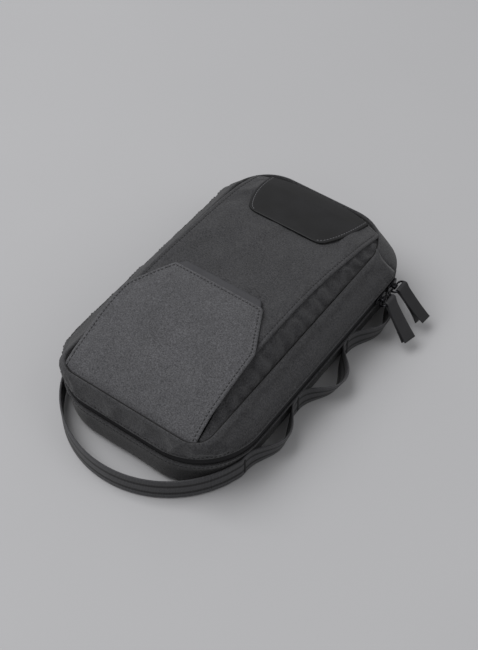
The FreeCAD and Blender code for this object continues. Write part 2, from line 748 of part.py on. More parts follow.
def add_ring_path(sketch):
    """Rounded rectangle: one long side on the local Y axis, the other 'ringWide' out."""
    V, up, C = FreeCAD.Vector, FreeCAD.Vector(0, 0, 1), Sketcher.Constraint
    half, wide, r = size("ringLong / 2"), size("ringWide"), size("ringBend")
    quarter = 1.5707963267948966
    corners = ((wide - r, -half + r, 3), (wide - r, half - r, 0), (r, half - r, 1), (r, -half + r, 2))
    lines = (
        (V(r, -half, 0), V(wide - r, -half, 0)),
        (V(wide, -half + r, 0), V(wide, half - r, 0)),
        (V(wide - r, half, 0), V(r, half, 0)),
        (V(0, half - r, 0), V(0, -half + r, 0)),
    )
    for i in range(4):
        sketch.addGeometry(Part.LineSegment(*lines[i]), False)
        x, y, start = corners[i]
        circle = Part.Circle(V(x, y, 0), up, r)
        sketch.addGeometry(Part.ArcOfCircle(circle, start * quarter, (start + 1) * quarter), False)
    for i in range(8):
        sketch.addConstraint(C("Tangent", i, 2, (i + 1) % 8, 1))
    for i, way in ((0, "Horizontal"), (2, "Vertical"), (4, "Horizontal"), (6, "Vertical")):
        sketch.addConstraint(C(way, i))
    for i in (3, 5, 7):
        sketch.addConstraint(C("Equal", 1, i))
    dimension(sketch, C("Radius", 1, r), "ringBend")
    sketch.addConstraint(C("PointOnObject", 6, 1, -2))
    dimension(sketch, C("DistanceX", -1, 1, 2, 1, wide), "ringWide")
    dimension(sketch, C("DistanceY", 0, 1, -1, 1, half), "ringLong / 2")
    dimension(sketch, C("DistanceY", -1, 1, 4, 1, half), "ringLong / 2")


def build_tab(name, index):
    """A leather strip folded over the ring. Local origin: the ring's outer wire; X down the tab."""
    body = new_body(name)
    eye = new_sketch(body, name + "_eye_s", "XZ_Plane", "-tabWide / 2")
    add_circle(eye, "0", "0", "wireRadius + eyeClear + leather")
    doc.recompute()
    pad(body, eye, "tabWide")
    doc.recompute()
    leaf = new_sketch(body, name + "_leaf_s", "XZ_Plane", "-tabWide / 2")
    rectangle(leaf, "wireRadius + eyeClear", "-leather", "tabLong", "leather")
    doc.recompute()
    pad(body, leaf, "tabWide")
    doc.recompute()
    drill = new_sketch(body, name + "_drill_s", "XZ_Plane")
    add_circle(drill, "0", "0", "wireRadius + eyeClear")
    doc.recompute()
    hole = body.newObject("PartDesign::Pocket", name + "_drill")
    hole.Profile = drill
    hole.Type = "ThroughAll"
    hole.SideType = "Symmetric"
    body.Placement.Rotation = FreeCAD.Rotation(FreeCAD.Vector(0, 1, 0), size("tabDroop"))
    bind(body, "Placement.Rotation.Angle", "tabDroop")
    put(
        body, "%s + %s + ringWide * cos(ringDroop)" % (coilMid, lug_axis()),
        slider_place(index), "%s - ringWide * sin(ringDroop)" % zipZ,
    )
    keep(body, name)


# ---------------------------------------------------------------- webbing


def ribbon(points, thickness):
    """A strip standing on edge along a smooth line through (x, y) points."""
    V = FreeCAD.Vector
    curve = Part.BSplineCurve()
    curve.interpolate([V(x, y, 0) for x, y in points])
    sides = []
    for sign in (-0.5, 0.5):
        offset = []
        count = 6 * len(points)
        for i in range(count + 1):
            u = curve.FirstParameter + (curve.LastParameter - curve.FirstParameter) * i / count
            p, t = curve.value(u), curve.tangent(u)[0]
            offset.append(V(p.x - t.y * sign * thickness, p.y + t.x * sign * thickness, 0))
        edge = Part.BSplineCurve()
        edge.interpolate(offset)
        sides.append(edge.toShape())
    ends = []
    for vertex in (0, -1):
        a, b = (side.Vertexes[vertex].Point for side in sides)
        ends.append(Part.makeLine(a, b))
    wire = Part.Wire(Part.__sortEdges__(sides + ends))
    strip = Part.Face(wire).extrude(V(0, 0, size("webWide")))
    strip.translate(V(0, 0, size("webBottom")))
    return strip


def put_ribbon(name, points):
    feature = doc.addObject("Part::Feature", name)
    feature.Shape = ribbon(points, size("webThick"))
    keep(feature, name)


def wall_line():
    """X of the webbing's centre line where it lies on the side wall."""
    return size("bagHalf - wallSide + gap + webThick / 2")


def handle_radius():
    """Radius of the handle's centre line."""
    return size("bagHalf - handleIn + webThick / 2")


def handle_point(angle):
    """A point of the handle's centre line; the angle is from straight out, in radians."""
    radius = handle_radius()
    return radius * math.sin(angle), -size("bagNear - handleCentreIn") - radius * math.cos(angle)


def swing_angle():
    """Half the handle arc that swings."""
    return math.acos(size("swingOut + handleCentreIn") / handle_radius())


def tack_places():
    first, last = size("bagFar - tackFar"), -size("bagNear - tackNear")
    return [first + (last - first) * i / 3 for i in range(4)]


def side_points(bulge):
    """Centre line from the far tack to the swing line, with loops between the tacks."""
    x, places = wall_line(), tack_places()
    sewn = size("tackLong / 2")
    points = [(x, places[0] + sewn)]
    for a, b in zip(places, places[1:]):
        start, end = a - sewn, b + sewn
        points.append((x, a + sewn * 0.2))
        for i in range(9):
            share = i / 8
            lift = bulge * (1 - math.cos(2 * math.pi * share)) / 2
            points.append((x + lift, start + (end - start) * share))
    points.append((x, places[-1] - sewn * 0.3))
    split = swing_angle() + size("swingGap") / handle_radius()
    first = math.acos(size("handleCentreIn - tackNear + tackLeave") / handle_radius())
    for i in range(5):
        points.append(handle_point(first + (split - first) * i / 4))
    return points


def build_webbing():
    """The webbing along both sides, the carry handle and the bar tacks."""
    right = side_points(size("loopBulge"))
    left = [(-x, y) for x, y in side_points(0.0)]
    put_ribbon("side_webbing_right", right)
    put_ribbon("side_webbing_left", left)
    reach = swing_angle()
    put_ribbon("carry_handle", [handle_point(reach * (i - 8) / 8) for i in range(17)])
    for side, name in ((1, "bar_tacks_right"), (-1, "bar_tacks_left")):
        build_tacks(name, side)


def build_tacks(name, side):
    """Four bar tacks proud of the webbing."""
    body = new_body(name)
    face = "bagHalf - wallSide + 2 * gap + webThick"
    if side < 0:
        face = "-(%s + tackProud)" % face
    sketch = new_sketch(body, name + "_s", "XY_Plane", "webBottom + webWide / 2 - tackTall / 2")
    pitch = "(bagFar + bagNear - tackFar - tackNear) / 3"
    for i in range(4):
        middle = "bagFar - tackFar - %d * %s" % (i, pitch)
        rectangle(
            sketch, face, "%s - tackWide / 2" % middle, "%s + tackProud" % face, "%s + tackWide / 2" % middle
        )
    pad(body, sketch, "tackTall")
    keep(body, name)


def write_parts():
    """Checks every object, then writes each sub-part."""
    doc.recompute()
    for thing in doc.Objects:
        if "Invalid" in thing.State or "Error" in thing.State:
            raise RuntimeError("%s is %s" % (thing.Label, thing.State))
    for name, thing in nodes.items():
        shape = thing.Shape
        if shape.isNull() or not shape.isValid() or shape.Volume <= 0:
            raise RuntimeError("%s has a bad shape" % name)
    os.makedirs("parts", exist_ok=True)
    for name, thing in nodes.items():
        thing.Shape.exportStep("parts/%s.step" % name)
        print(name, round(thing.Shape.Volume / 1000, 2), len(thing.Shape.Solids))


build_shells()
build_back()
build_tray_layers()
build_divider()
build_zip()
build_pocket()
build_flap()
for index, letter in enumerate("ab"):
    build_slider("slider_" + letter, index)
    build_ring("ring_" + letter, index)
    build_tab("pull_tab_" + letter, index)
build_webbing()
write_parts()
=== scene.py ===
import math
import bpy
import bmesh
import numpy as np
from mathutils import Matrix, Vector


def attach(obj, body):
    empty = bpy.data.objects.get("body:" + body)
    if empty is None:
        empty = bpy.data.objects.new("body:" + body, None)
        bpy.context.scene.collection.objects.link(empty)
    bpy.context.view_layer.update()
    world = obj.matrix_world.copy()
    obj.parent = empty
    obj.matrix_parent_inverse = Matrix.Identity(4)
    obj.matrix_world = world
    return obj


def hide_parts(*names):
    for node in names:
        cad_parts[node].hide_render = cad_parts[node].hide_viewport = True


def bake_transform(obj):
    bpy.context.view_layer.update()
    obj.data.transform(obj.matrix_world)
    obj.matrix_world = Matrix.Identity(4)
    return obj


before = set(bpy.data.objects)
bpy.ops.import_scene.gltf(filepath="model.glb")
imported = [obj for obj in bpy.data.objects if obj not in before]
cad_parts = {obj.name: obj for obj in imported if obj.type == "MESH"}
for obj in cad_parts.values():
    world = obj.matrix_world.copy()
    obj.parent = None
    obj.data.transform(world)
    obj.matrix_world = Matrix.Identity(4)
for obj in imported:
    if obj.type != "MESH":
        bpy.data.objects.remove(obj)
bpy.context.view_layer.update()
mm = 0.001
print("frame loaded")

# the bag's outline at the zip, in millimetres; pieces are drawn inside it by their insets
# the left side of the slack cloth sits a little further in than the right
bag = {"half": 82.3, "near": 129.0, "far": 127.0, "nearCorner": 50.0, "farCorner": 34.0, "leftScale": 0.975}


# smooth curve through rows of numbers: cubic pieces whose slopes are the mean of their neighbours'
def smoothRows(rows, count):
    rows = np.array(rows, float)
    marks = np.arange(len(rows), dtype=float)
    slopes = np.gradient(rows, axis=0)
    places = np.linspace(0, len(rows) - 1, count)
    low = np.minimum(places.astype(int), len(rows) - 2)
    part = (places - marks[low])[:, None]
    a, b, da, db = rows[low], rows[low + 1], slopes[low], slopes[low + 1]
    square, cube = part ** 2, part ** 3
    return ((2 * cube - 3 * square + 1) * a + (cube - 2 * square + part) * da
            + (3 * square - 2 * cube) * b + (cube - square) * db)


# y as a smooth function of x through given points
def smoothAt(points, x):
    points = np.array(sorted(points), float)
    dense = smoothRows(points, 40 * len(points))
    return np.interp(x, dense[:, 0], dense[:, 1])


# eases from 0 to 1 as x goes from a to b
def ease(x, a, b):
    part = np.clip((np.asarray(x, float) - a) / (b - a), 0, 1)
    return part * part * (3 - 2 * part)


# sum of a few sine waves with fixed phases, between about -1 and 1: slack cloth is never quite even
def ripple(a, b, seed, size=20.0, parts=7):
    draw = np.random.default_rng(seed)
    total = 0
    for _ in range(parts):
        angle, phase = draw.uniform(0, 2 * math.pi, 2)
        wave = size * draw.uniform(0.6, 1.7)
        total = total + np.sin(2 * math.pi * (a * math.cos(angle) + b * math.sin(angle)) / wave + phase)
    return total / parts


# lengths of the outline's eight parts, corner arcs and straight edges in turn, in millimetres
segmentLengths = np.array([53.4, 172.0, 78.5, 64.6, 78.5, 172.0, 53.4, 96.6])
segmentEnds = np.concatenate([[0], np.cumsum(segmentLengths)])


# outline place t (0..8, clockwise from the patch end's right corner) for even steps in millimetres
def around(start, end, step):
    marks = np.arange(-8, 17)
    lengths = segmentEnds[marks % 8] + segmentEnds[-1] * (marks // 8)
    a, b = np.interp([start, end], marks, lengths)
    count = max(2, int(round((b - a) / step)) + 1)
    return np.interp(np.linspace(a, b, count), lengths, marks)


# rounded rectangle drawn inside the outline: x, y and outward direction at place t. side, near and far are how
# far in each edge lies; nearCorner and farCorner are the corner radii there
def outline(t, side, near, far=None, nearCorner=None, farCorner=None):
    far = near if far is None else far
    nearCorner = bag["nearCorner"] - (np.asarray(side) + near) / 2 if nearCorner is None else nearCorner
    farCorner = bag["farCorner"] - (np.asarray(side) + far) / 2 if farCorner is None else farCorner
    t = np.mod(np.asarray(t, float), 8)
    t, side, near, far, rn, rf = np.broadcast_arrays(t, side, near, far, nearCorner, farCorner)
    half, yn, yf = bag["half"] - side, near - bag["near"], bag["far"] - far
    seg, f = np.floor(t).astype(int), t - np.floor(t)
    turn = f * math.pi / 2
    angle = np.choose(seg, [math.pi / 2 - turn, 0, -turn, -math.pi / 2,
                            -math.pi / 2 - turn, math.pi, math.pi - turn, math.pi / 2])
    cx = np.choose(seg, [half - rf, half - rn - (rf - rn) * (1 - f), half - rn, (half - rn) * (1 - 2 * f),
                         rn - half, rn - half + (rf - rn) * f, rf - half, (half - rf) * (2 * f - 1)])
    r = np.choose(seg, [rf, rn + (rf - rn) * (1 - f), rn, rn, rn, rn + (rf - rn) * f, rf, rf])
    cy = np.choose(seg, [yf - rf, (yf - rf) + (rn + yn - yf + rf) * f, rn + yn, rn + yn,
                         rn + yn, (rn + yn) + (yf - rf - rn - yn) * f, yf - rf, yf - rf])
    x, y = cx + r * np.cos(angle), cy + r * np.sin(angle)
    # the slack left side lies a little further in
    x = x * np.where(x < 0, bag["leftScale"], 1.0)
    return x, y, np.cos(angle), np.sin(angle)


# the lid's slack left side leans inward, most near the handle; points are changed in place
def leanIn(points):
    x, y, z = points[..., 0], points[..., 1], points[..., 2]
    share = 0.058 * ease(-y, 10, 105) + 0.012
    points[..., 0] = np.where(x < 0, x * (1 - share * ease(z, 39, 50)), x)
    return points


# faces of a grid of rows by columns, joined round when wrap is set
def gridFaces(rows, cols, wrap=False, start=0):
    i, j = np.meshgrid(np.arange(rows - 1), np.arange(cols if wrap else cols - 1), indexing="ij")
    k = (j + 1) % cols
    quads = np.stack([i * cols + j, i * cols + k, (i + 1) * cols + k, (i + 1) * cols + j], -1)
    return quads.reshape(-1, 4) + start


# faces of a grid joined round both ways
def loopFaces(rows, cols):
    i, j = np.meshgrid(np.arange(rows), np.arange(cols), indexing="ij")
    k, m = (j + 1) % cols, (i + 1) % rows
    return np.stack([i * cols + j, i * cols + k, m * cols + k, m * cols + j], -1).reshape(-1, 4)


# unit normals of a grid of points: the cross product of its two slopes
def gridNormals(points):
    normal = np.cross(np.gradient(points, axis=1), np.gradient(points, axis=0))
    return normal / np.maximum(np.linalg.norm(normal, axis=2, keepdims=True), 1e-9)


# the same normals, turned to the side that way points to
def normalsTowards(points, way):
    normals = gridNormals(points)
    return normals * np.sign(np.sum(normals * way))


# a closed sheet from its two faces. the first rims of its open edges get a rim: first row, last row, first column,
# last column
def closedSheet(outer, inner, rims=4):
    rows, cols = outer.shape[:2]
    shift = rows * cols
    faces = [gridFaces(rows, cols), gridFaces(rows, cols, start=shift)[:, ::-1]]
    across, down = np.arange(cols), np.arange(rows) * cols
    for line in (across, (rows - 1) * cols + across, down, down + cols - 1)[:rims]:
        faces.append(np.stack([line[:-1], line[1:], line[1:] + shift, line[:-1] + shift], -1))
    return np.concatenate([outer.reshape(-1, 3), inner.reshape(-1, 3)]), np.concatenate(faces)


# a closed sheet of even thickness: its second face is set back along the normals of its first
def thickSheet(outer, thickness, inward):
    normal = gridNormals(outer)
    away = np.sign(np.sum(normal * inward)) or 1.0
    return closedSheet(outer, outer + away * normal * thickness)


# a mesh object from points in millimetres; the outside is found again after near doubles are merged
def makeMesh(name, points, faces, tidy=True, uv=None):
    mesh = bpy.data.meshes.new(name)
    mesh.from_pydata((np.asarray(points, float) * mm).tolist(), [], [list(face) for face in faces])
    if uv is not None:
        layer = mesh.uv_layers.new(name="length")
        loops = np.zeros(len(mesh.loops), int)
        mesh.loops.foreach_get("vertex_index", loops)
        layer.data.foreach_set("uv", np.asarray(uv, float)[loops].ravel())
    if tidy:
        work = bmesh.new()
        work.from_mesh(mesh)
        if uv is None:
            bmesh.ops.remove_doubles(work, verts=work.verts, dist=1e-6)
        bmesh.ops.recalc_face_normals(work, faces=work.faces)
        work.to_mesh(mesh)
        work.free()
    mesh.polygons.foreach_set("use_smooth", [True] * len(mesh.polygons))
    piece = bpy.data.objects.new(name, mesh)
    bpy.context.scene.collection.objects.link(piece)
    return piece


# a tube or strip: a closed section (across, up) carried along points with their side and up directions
def sweep(path, sideWay, upWay, section):
    section = np.asarray(section, float)
    if section.ndim == 2:
        section = np.broadcast_to(section, (len(path),) + section.shape)
    points = path[:, None] + section[:, :, :1] * sideWay[:, None] + section[:, :, 1:] * upWay[:, None]
    rows, cols = points.shape[:2]
    faces = [list(face) for face in gridFaces(rows, cols, wrap=True)]
    faces.append(list(range(cols)))
    faces.append([(rows - 1) * cols + k for k in range(cols)])
    return points.reshape(-1, 3), faces


# a ring tube with no ends, round a closed path
def closedTube(path, sideWay, upWay, section):
    section = np.asarray(section, float)
    points = path[:, None] + section[None, :, :1] * sideWay[:, None] + section[None, :, 1:] * upWay[:, None]
    return points.reshape(-1, 3), loopFaces(*points.shape[:2])


# circle of a radius as a section
def circle(radius, count=10):
    turn = np.arange(count) * 2 * math.pi / count
    return np.stack([radius * np.cos(turn), radius * np.sin(turn)], -1)


# one stitch: a short thread of six sides along X that dips at both ends, as (points, faces)
def stitchShape(length, radius, sides=6):
    along = np.array([-0.5, -0.36, -0.12, 0.12, 0.36, 0.5]) * length
    wide = np.array([0.35, 0.9, 1.0, 1.0, 0.9, 0.35]) * radius
    high = np.array([-0.9, -0.1, 0.25, 0.25, -0.1, -0.9]) * radius
    turn = np.arange(sides) * 2 * math.pi / sides
    points = np.stack([np.repeat(along, sides), (wide[:, None] * np.cos(turn)).ravel(),
                       (high[:, None] + wide[:, None] * np.sin(turn)).ravel()], -1)
    faces = [list(face) for face in gridFaces(len(along), sides, wrap=True)]
    faces += [list(range(sides)), [(len(along) - 1) * sides + k for k in range(sides)]]
    return points, faces


# copies of one shape at many places, each with its own three directions
def copies(shape, places, xWay, yWay, zWay):
    points, faces = shape
    placed = (places[:, None] + points[None, :, :1] * xWay[:, None] + points[None, :, 1:2] * yWay[:, None]
              + points[None, :, 2:] * zWay[:, None])
    shift = np.arange(len(places)) * len(points)
    allFaces = []
    for face in faces:
        allFaces.append(np.array(face)[None, :] + shift[:, None])
    return placed.reshape(-1, 3), [row.tolist() for block in allFaces for row in block]


# a polyline cut into even steps: places, directions and the normals carried along
def evenSteps(line, normals, step, inset=0.0):
    gaps = np.linalg.norm(np.diff(line, axis=0), axis=1)
    run = np.concatenate([[0], np.cumsum(gaps)])
    count = max(1, int((run[-1] - 2 * inset) / step))
    marks = inset + (np.arange(count) + 0.5) * (run[-1] - 2 * inset) / count
    place = np.stack([np.interp(marks, run, line[:, k]) for k in range(3)], -1)
    ahead = np.stack([np.interp(marks + 0.3, run, line[:, k]) for k in range(3)], -1)
    behind = np.stack([np.interp(marks - 0.3, run, line[:, k]) for k in range(3)], -1)
    way = ahead - behind
    way /= np.maximum(np.linalg.norm(way, axis=1, keepdims=True), 1e-9)
    normal = np.stack([np.interp(marks, run, normals[:, k]) for k in range(3)], -1)
    normal -= way * np.sum(way * normal, axis=1, keepdims=True)
    normal /= np.maximum(np.linalg.norm(normal, axis=1, keepdims=True), 1e-9)
    return place, way, normal


seams = {"pitch": 3.0, "length": 2.3, "radius": 0.4}


# a row of stitches along a line on a surface
def stitchRow(line, normals, pitch=None, length=None, radius=None, inset=0.0):
    place, way, normal = evenSteps(line, normals, pitch or seams["pitch"], inset)
    shape = stitchShape(length or seams["length"], radius or seams["radius"])
    return copies(shape, place, way, np.cross(normal, way), normal)


# several (points, faces) lists as one
def joined(parts):
    points, faces, shift = [], [], 0
    for partPoints, partFaces in parts:
        points.append(partPoints)
        faces += [[index + shift for index in face] for face in partFaces]
        shift += len(partPoints)
    return np.concatenate(points), faces


# a point and normal on a grid at fractional (row, column) places
def onGrid(points, normals, rows, cols):
    rows, cols = np.broadcast_arrays(np.asarray(rows, float), np.asarray(cols, float))
    i = np.clip(rows.astype(int), 0, points.shape[0] - 2)
    j = np.clip(cols.astype(int), 0, points.shape[1] - 2)
    a, b = (rows - i)[:, None], (cols - j)[:, None]
    found = []
    for grid in (points, normals):
        top = grid[i, j] * (1 - b) + grid[i, j + 1] * b
        low = grid[i + 1, j] * (1 - b) + grid[i + 1, j + 1] * b
        found.append(top * (1 - a) + low * a)
    return found


cloth = {"frames": 14, "quality": 4, "mass": 0.25, "stiffness": 6.0, "bending": 0.4}


# lets a grid of cloth, cut a little too large for the edges it is sewn to, find its own slack.
# pinned is a grid of weights (1 held, 0 free); no point moves further than cap millimetres
def settle(name, points, pinned, pressure, spare, cap):
    rows, cols = points.shape[:2]
    mesh = bpy.data.meshes.new(name)
    mesh.from_pydata((points.reshape(-1, 3) * mm * 10).tolist(), [], gridFaces(rows, cols).tolist())
    sheet = bpy.data.objects.new(name, mesh)
    bpy.context.scene.collection.objects.link(sheet)
    group = sheet.vertex_groups.new(name="sewn")
    flat = pinned.ravel()
    for level in np.unique(np.round(flat, 2)):
        if level > 0:
            group.add(np.nonzero(np.round(flat, 2) == level)[0].tolist(), float(level), "REPLACE")
    modifier = sheet.modifiers.new("cloth", "CLOTH")
    settings = modifier.settings
    settings.quality = cloth["quality"]
    settings.mass = cloth["mass"]
    settings.tension_stiffness = settings.compression_stiffness = cloth["stiffness"]
    settings.shear_stiffness = cloth["stiffness"] / 2
    settings.bending_stiffness = cloth["bending"]
    settings.vertex_group_mass = "sewn"
    settings.shrink_min = -spare
    settings.use_pressure = True
    settings.uniform_pressure_force = pressure
    settings.effector_weights.gravity = 0
    modifier.collision_settings.use_collision = False
    modifier.point_cache.frame_start = 1
    modifier.point_cache.frame_end = cloth["frames"]
    scene = bpy.context.scene
    for number in range(1, cloth["frames"] + 1):
        scene.frame_set(number)
    settled = sheet.evaluated_get(bpy.context.evaluated_depsgraph_get()).data
    found = np.zeros(len(settled.vertices) * 3)
    settled.vertices.foreach_get("co", found)
    found = found.reshape(rows, cols, 3) / (mm * 10)
    scene.frame_set(1)
    bpy.data.objects.remove(sheet)
    bpy.data.meshes.remove(mesh)
    move = found - points
    far = np.linalg.norm(move, axis=2, keepdims=True)
    limited = cap * np.tanh(far / cap)
    print("cloth", name, "moved up to", round(float(far.max()), 2), "mm")
    return points + move / np.maximum(far, 1e-9) * limited


# sRGB hex to linear colour: the standard curve on each channel
def linear(hexColour):
    channels = [int(hexColour[k:k + 2], 16) / 255 for k in (1, 3, 5)]
    return [c / 12.92 if c <= 0.04045 else ((c + 0.055) / 1.055) ** 2.4 for c in channels] + [1.0]


# one node with its settings and its inputs, each a number or another node's output
def node(tree, kind, inputs=None, **settings):
    made = tree.nodes.new(kind)
    for key, value in settings.items():
        setattr(made, key, value)
    for key, value in (inputs or {}).items():
        if isinstance(value, bpy.types.NodeSocket):
            tree.links.new(value, made.inputs[key])
        else:
            made.inputs[key].default_value = value
    return made


def newMaterial(name):
    material = bpy.data.materials.new(name)
    material.use_nodes = True
    tree = material.node_tree
    tree.nodes.clear()
    shader = node(tree, "ShaderNodeBsdfPrincipled")
    node(tree, "ShaderNodeOutputMaterial", {"Surface": shader.outputs[0]})
    return material, tree, shader


# two colours mixed by a factor output
def blendColour(tree, factor, dark, light):
    mix = node(tree, "ShaderNodeMix", data_type="RGBA")
    tree.links.new(factor, mix.inputs[0])
    for slotIndex, colour in ((6, dark), (7, light)):
        if isinstance(colour, bpy.types.NodeSocket):
            tree.links.new(colour, mix.inputs[slotIndex])
        else:
            mix.inputs[slotIndex].default_value = linear(colour)
    return mix.outputs[2]


# heathered woven polyester: dark and pale yarns crossed, a fine pebbled hand and a soft sheen at grazing angles
def heatherWeave(name, dark, light, slack=1.0):
    material, tree, shader = newMaterial(name)
    place = node(tree, "ShaderNodeTexCoord").outputs["Object"]
    # flecks about 0.7 by 1.3 mm, coarser than the real yarns so that they show
    warp = node(tree, "ShaderNodeMapping", {"Vector": place, "Scale": (1500, 760, 1200)})
    weft = node(tree, "ShaderNodeMapping", {"Vector": place, "Scale": (760, 1500, 900)})
    warpNoise = node(tree, "ShaderNodeTexNoise", {"Vector": warp.outputs[0], "Scale": 1.0, "Detail": 2.0})
    weftNoise = node(tree, "ShaderNodeTexNoise", {"Vector": weft.outputs[0], "Scale": 1.0, "Detail": 2.0})
    yarns = node(tree, "ShaderNodeMath", {0: warpNoise.outputs[0], 1: weftNoise.outputs[0]}, operation="ADD")
    melange = node(tree, "ShaderNodeMapRange", {"Value": yarns.outputs[0], "From Min": 0.72, "From Max": 1.3})
    colour = blendColour(tree, melange.outputs[0], dark, light)
    # cloudy unevenness of the dye, about 25 mm across
    cloud = node(tree, "ShaderNodeTexNoise", {"Vector": place, "Scale": 38.0, "Detail": 3.0, "Roughness": 0.6})
    shade = node(tree, "ShaderNodeMapRange",
                 {"Value": cloud.outputs[0], "From Min": 0.3, "From Max": 0.7, "To Min": 0.9, "To Max": 1.08})
    toned = node(tree, "ShaderNodeMix", {6: colour}, data_type="RGBA", blend_type="MULTIPLY")
    toned.inputs[0].default_value = 1.0
    tree.links.new(shade.outputs[0], toned.inputs[7])
    tree.links.new(toned.outputs[2], shader.inputs["Base Color"])
    grain = node(tree, "ShaderNodeTexVoronoi", {"Vector": place, "Scale": 900.0})
    height = node(tree, "ShaderNodeMath", {0: yarns.outputs[0], 1: grain.outputs["Distance"]}, operation="ADD")
    weave = node(tree, "ShaderNodeBump", {"Height": height.outputs[0], "Strength": 0.55,
                                          "Distance": 0.00035})
    hand = node(tree, "ShaderNodeTexNoise", {"Vector": place, "Scale": 75.0, "Detail": 2.0})
    soft = node(tree, "ShaderNodeBump", {"Height": hand.outputs[0], "Strength": 0.35 * slack,
                                         "Distance": 0.0012, "Normal": weave.outputs[0]})
    tree.links.new(soft.outputs[0], shader.inputs["Normal"])
    rough = node(tree, "ShaderNodeMapRange", {"Value": melange.outputs[0], "To Min": 0.98, "To Max": 0.82})
    tree.links.new(rough.outputs[0], shader.inputs["Roughness"])
    shader.inputs["Specular IOR Level"].default_value = 0.25
    shader.inputs["Sheen Weight"].default_value = 0.12
    shader.inputs["Sheen Roughness"].default_value = 0.5
    return material


# plain fine cloth, such as lining, tape or binding: a small even rib and little sheen
def plainCloth(name, dark, light, rib=1400.0, roughness=0.85):
    material, tree, shader = newMaterial(name)
    place = node(tree, "ShaderNodeTexCoord").outputs["Object"]
    thread = node(tree, "ShaderNodeTexNoise", {"Vector": place, "Scale": rib, "Detail": 2.0})
    patchy = node(tree, "ShaderNodeTexNoise", {"Vector": place, "Scale": 60.0, "Detail": 3.0})
    both = node(tree, "ShaderNodeMath", {0: thread.outputs[0], 1: patchy.outputs[0]}, operation="ADD")
    factor = node(tree, "ShaderNodeMapRange", {"Value": both.outputs[0], "From Min": 0.7, "From Max": 1.3})
    tree.links.new(blendColour(tree, factor.outputs[0], dark, light), shader.inputs["Base Color"])
    bump = node(tree, "ShaderNodeBump", {"Height": thread.outputs[0], "Strength": 0.4, "Distance": 0.0002})
    tree.links.new(bump.outputs[0], shader.inputs["Normal"])
    shader.inputs["Roughness"].default_value = roughness
    shader.inputs["Specular IOR Level"].default_value = 0.3
    return material


# woven nylon webbing: cross ribs along its length, two sunk dark channels and pale bands between
def webbingWeave(name):
    material, tree, shader = newMaterial(name)
    length = node(tree, "ShaderNodeUVMap", uv_map="length").outputs[0]
    parts = node(tree, "ShaderNodeSeparateXYZ", {"Vector": length})
    # v runs 0..1 across the 20 mm; the channels lie 4.1 mm each side of the middle
    middle = node(tree, "ShaderNodeMath", {0: parts.outputs[1], 1: 0.5}, operation="SUBTRACT")
    away = node(tree, "ShaderNodeMath", {0: middle.outputs[0]}, operation="ABSOLUTE")
    offset = node(tree, "ShaderNodeMath", {0: away.outputs[0], 1: 0.205}, operation="SUBTRACT")
    near = node(tree, "ShaderNodeMath", {0: offset.outputs[0]}, operation="ABSOLUTE")
    channel = node(tree, "ShaderNodeMapRange",
                   {"Value": near.outputs[0], "From Min": 0.055, "From Max": 0.085, "To Min": 1.0, "To Max": 0.0},
                   interpolation_type="SMOOTHSTEP")
    place = node(tree, "ShaderNodeMapping", {"Vector": length, "Scale": (1.0, 20.0, 1.0)})
    speck = node(tree, "ShaderNodeTexNoise", {"Vector": place.outputs[0], "Scale": 1.3, "Detail": 3.0})
    pale = blendColour(tree, speck.outputs[0], "#2b2b2d", "#48484b")
    colour = blendColour(tree, channel.outputs[0], pale, "#18181a")
    tree.links.new(colour, shader.inputs["Base Color"])
    # ribs 1.1 mm apart
    wave = node(tree, "ShaderNodeTexWave", {"Vector": length, "Scale": 0.29, "Distortion": 0.6, "Detail": 1.0},
                wave_type="BANDS", bands_direction="X")
    ribs = node(tree, "ShaderNodeMath", {0: wave.outputs["Fac"], 1: speck.outputs[0]}, operation="ADD")
    bump = node(tree, "ShaderNodeBump", {"Height": ribs.outputs[0], "Strength": 0.7, "Distance": 0.00035})
    tree.links.new(bump.outputs[0], shader.inputs["Normal"])
    shader.inputs["Roughness"].default_value = 0.72
    shader.inputs["Specular IOR Level"].default_value = 0.35
    shader.inputs["Sheen Weight"].default_value = 0.1
    return material


# smooth finished cowhide: satin black with a fine pebble, faint scuffs, and paler rubbed spots
def satinLeather(name, dark, light, roughness=0.42):
    material, tree, shader = newMaterial(name)
    place = node(tree, "ShaderNodeTexCoord").outputs["Object"]
    # grain cells are 0.6 mm across
    pebble = node(tree, "ShaderNodeTexVoronoi", {"Vector": place, "Scale": 1500.0}, feature="SMOOTH_F1")
    cloud = node(tree, "ShaderNodeTexNoise", {"Vector": place, "Scale": 45.0, "Detail": 5.0, "Roughness": 0.6})
    factor = node(tree, "ShaderNodeMapRange", {"Value": cloud.outputs[0], "From Min": 0.35, "From Max": 0.7})
    tree.links.new(blendColour(tree, factor.outputs[0], dark, light), shader.inputs["Base Color"])
    worn = node(tree, "ShaderNodeMapRange",
                {"Value": cloud.outputs[0], "To Min": roughness - 0.08, "To Max": roughness + 0.16})
    tree.links.new(worn.outputs[0], shader.inputs["Roughness"])
    bump = node(tree, "ShaderNodeBump", {"Height": pebble.outputs["Distance"], "Strength": 0.25,
                                         "Distance": 0.00015})
    wavy = node(tree, "ShaderNodeBump", {"Height": cloud.outputs[0], "Strength": 0.12, "Distance": 0.001,
                                         "Normal": bump.outputs[0]})
    tree.links.new(wavy.outputs[0], shader.inputs["Normal"])
    shader.inputs["Specular IOR Level"].default_value = 0.3
    return material


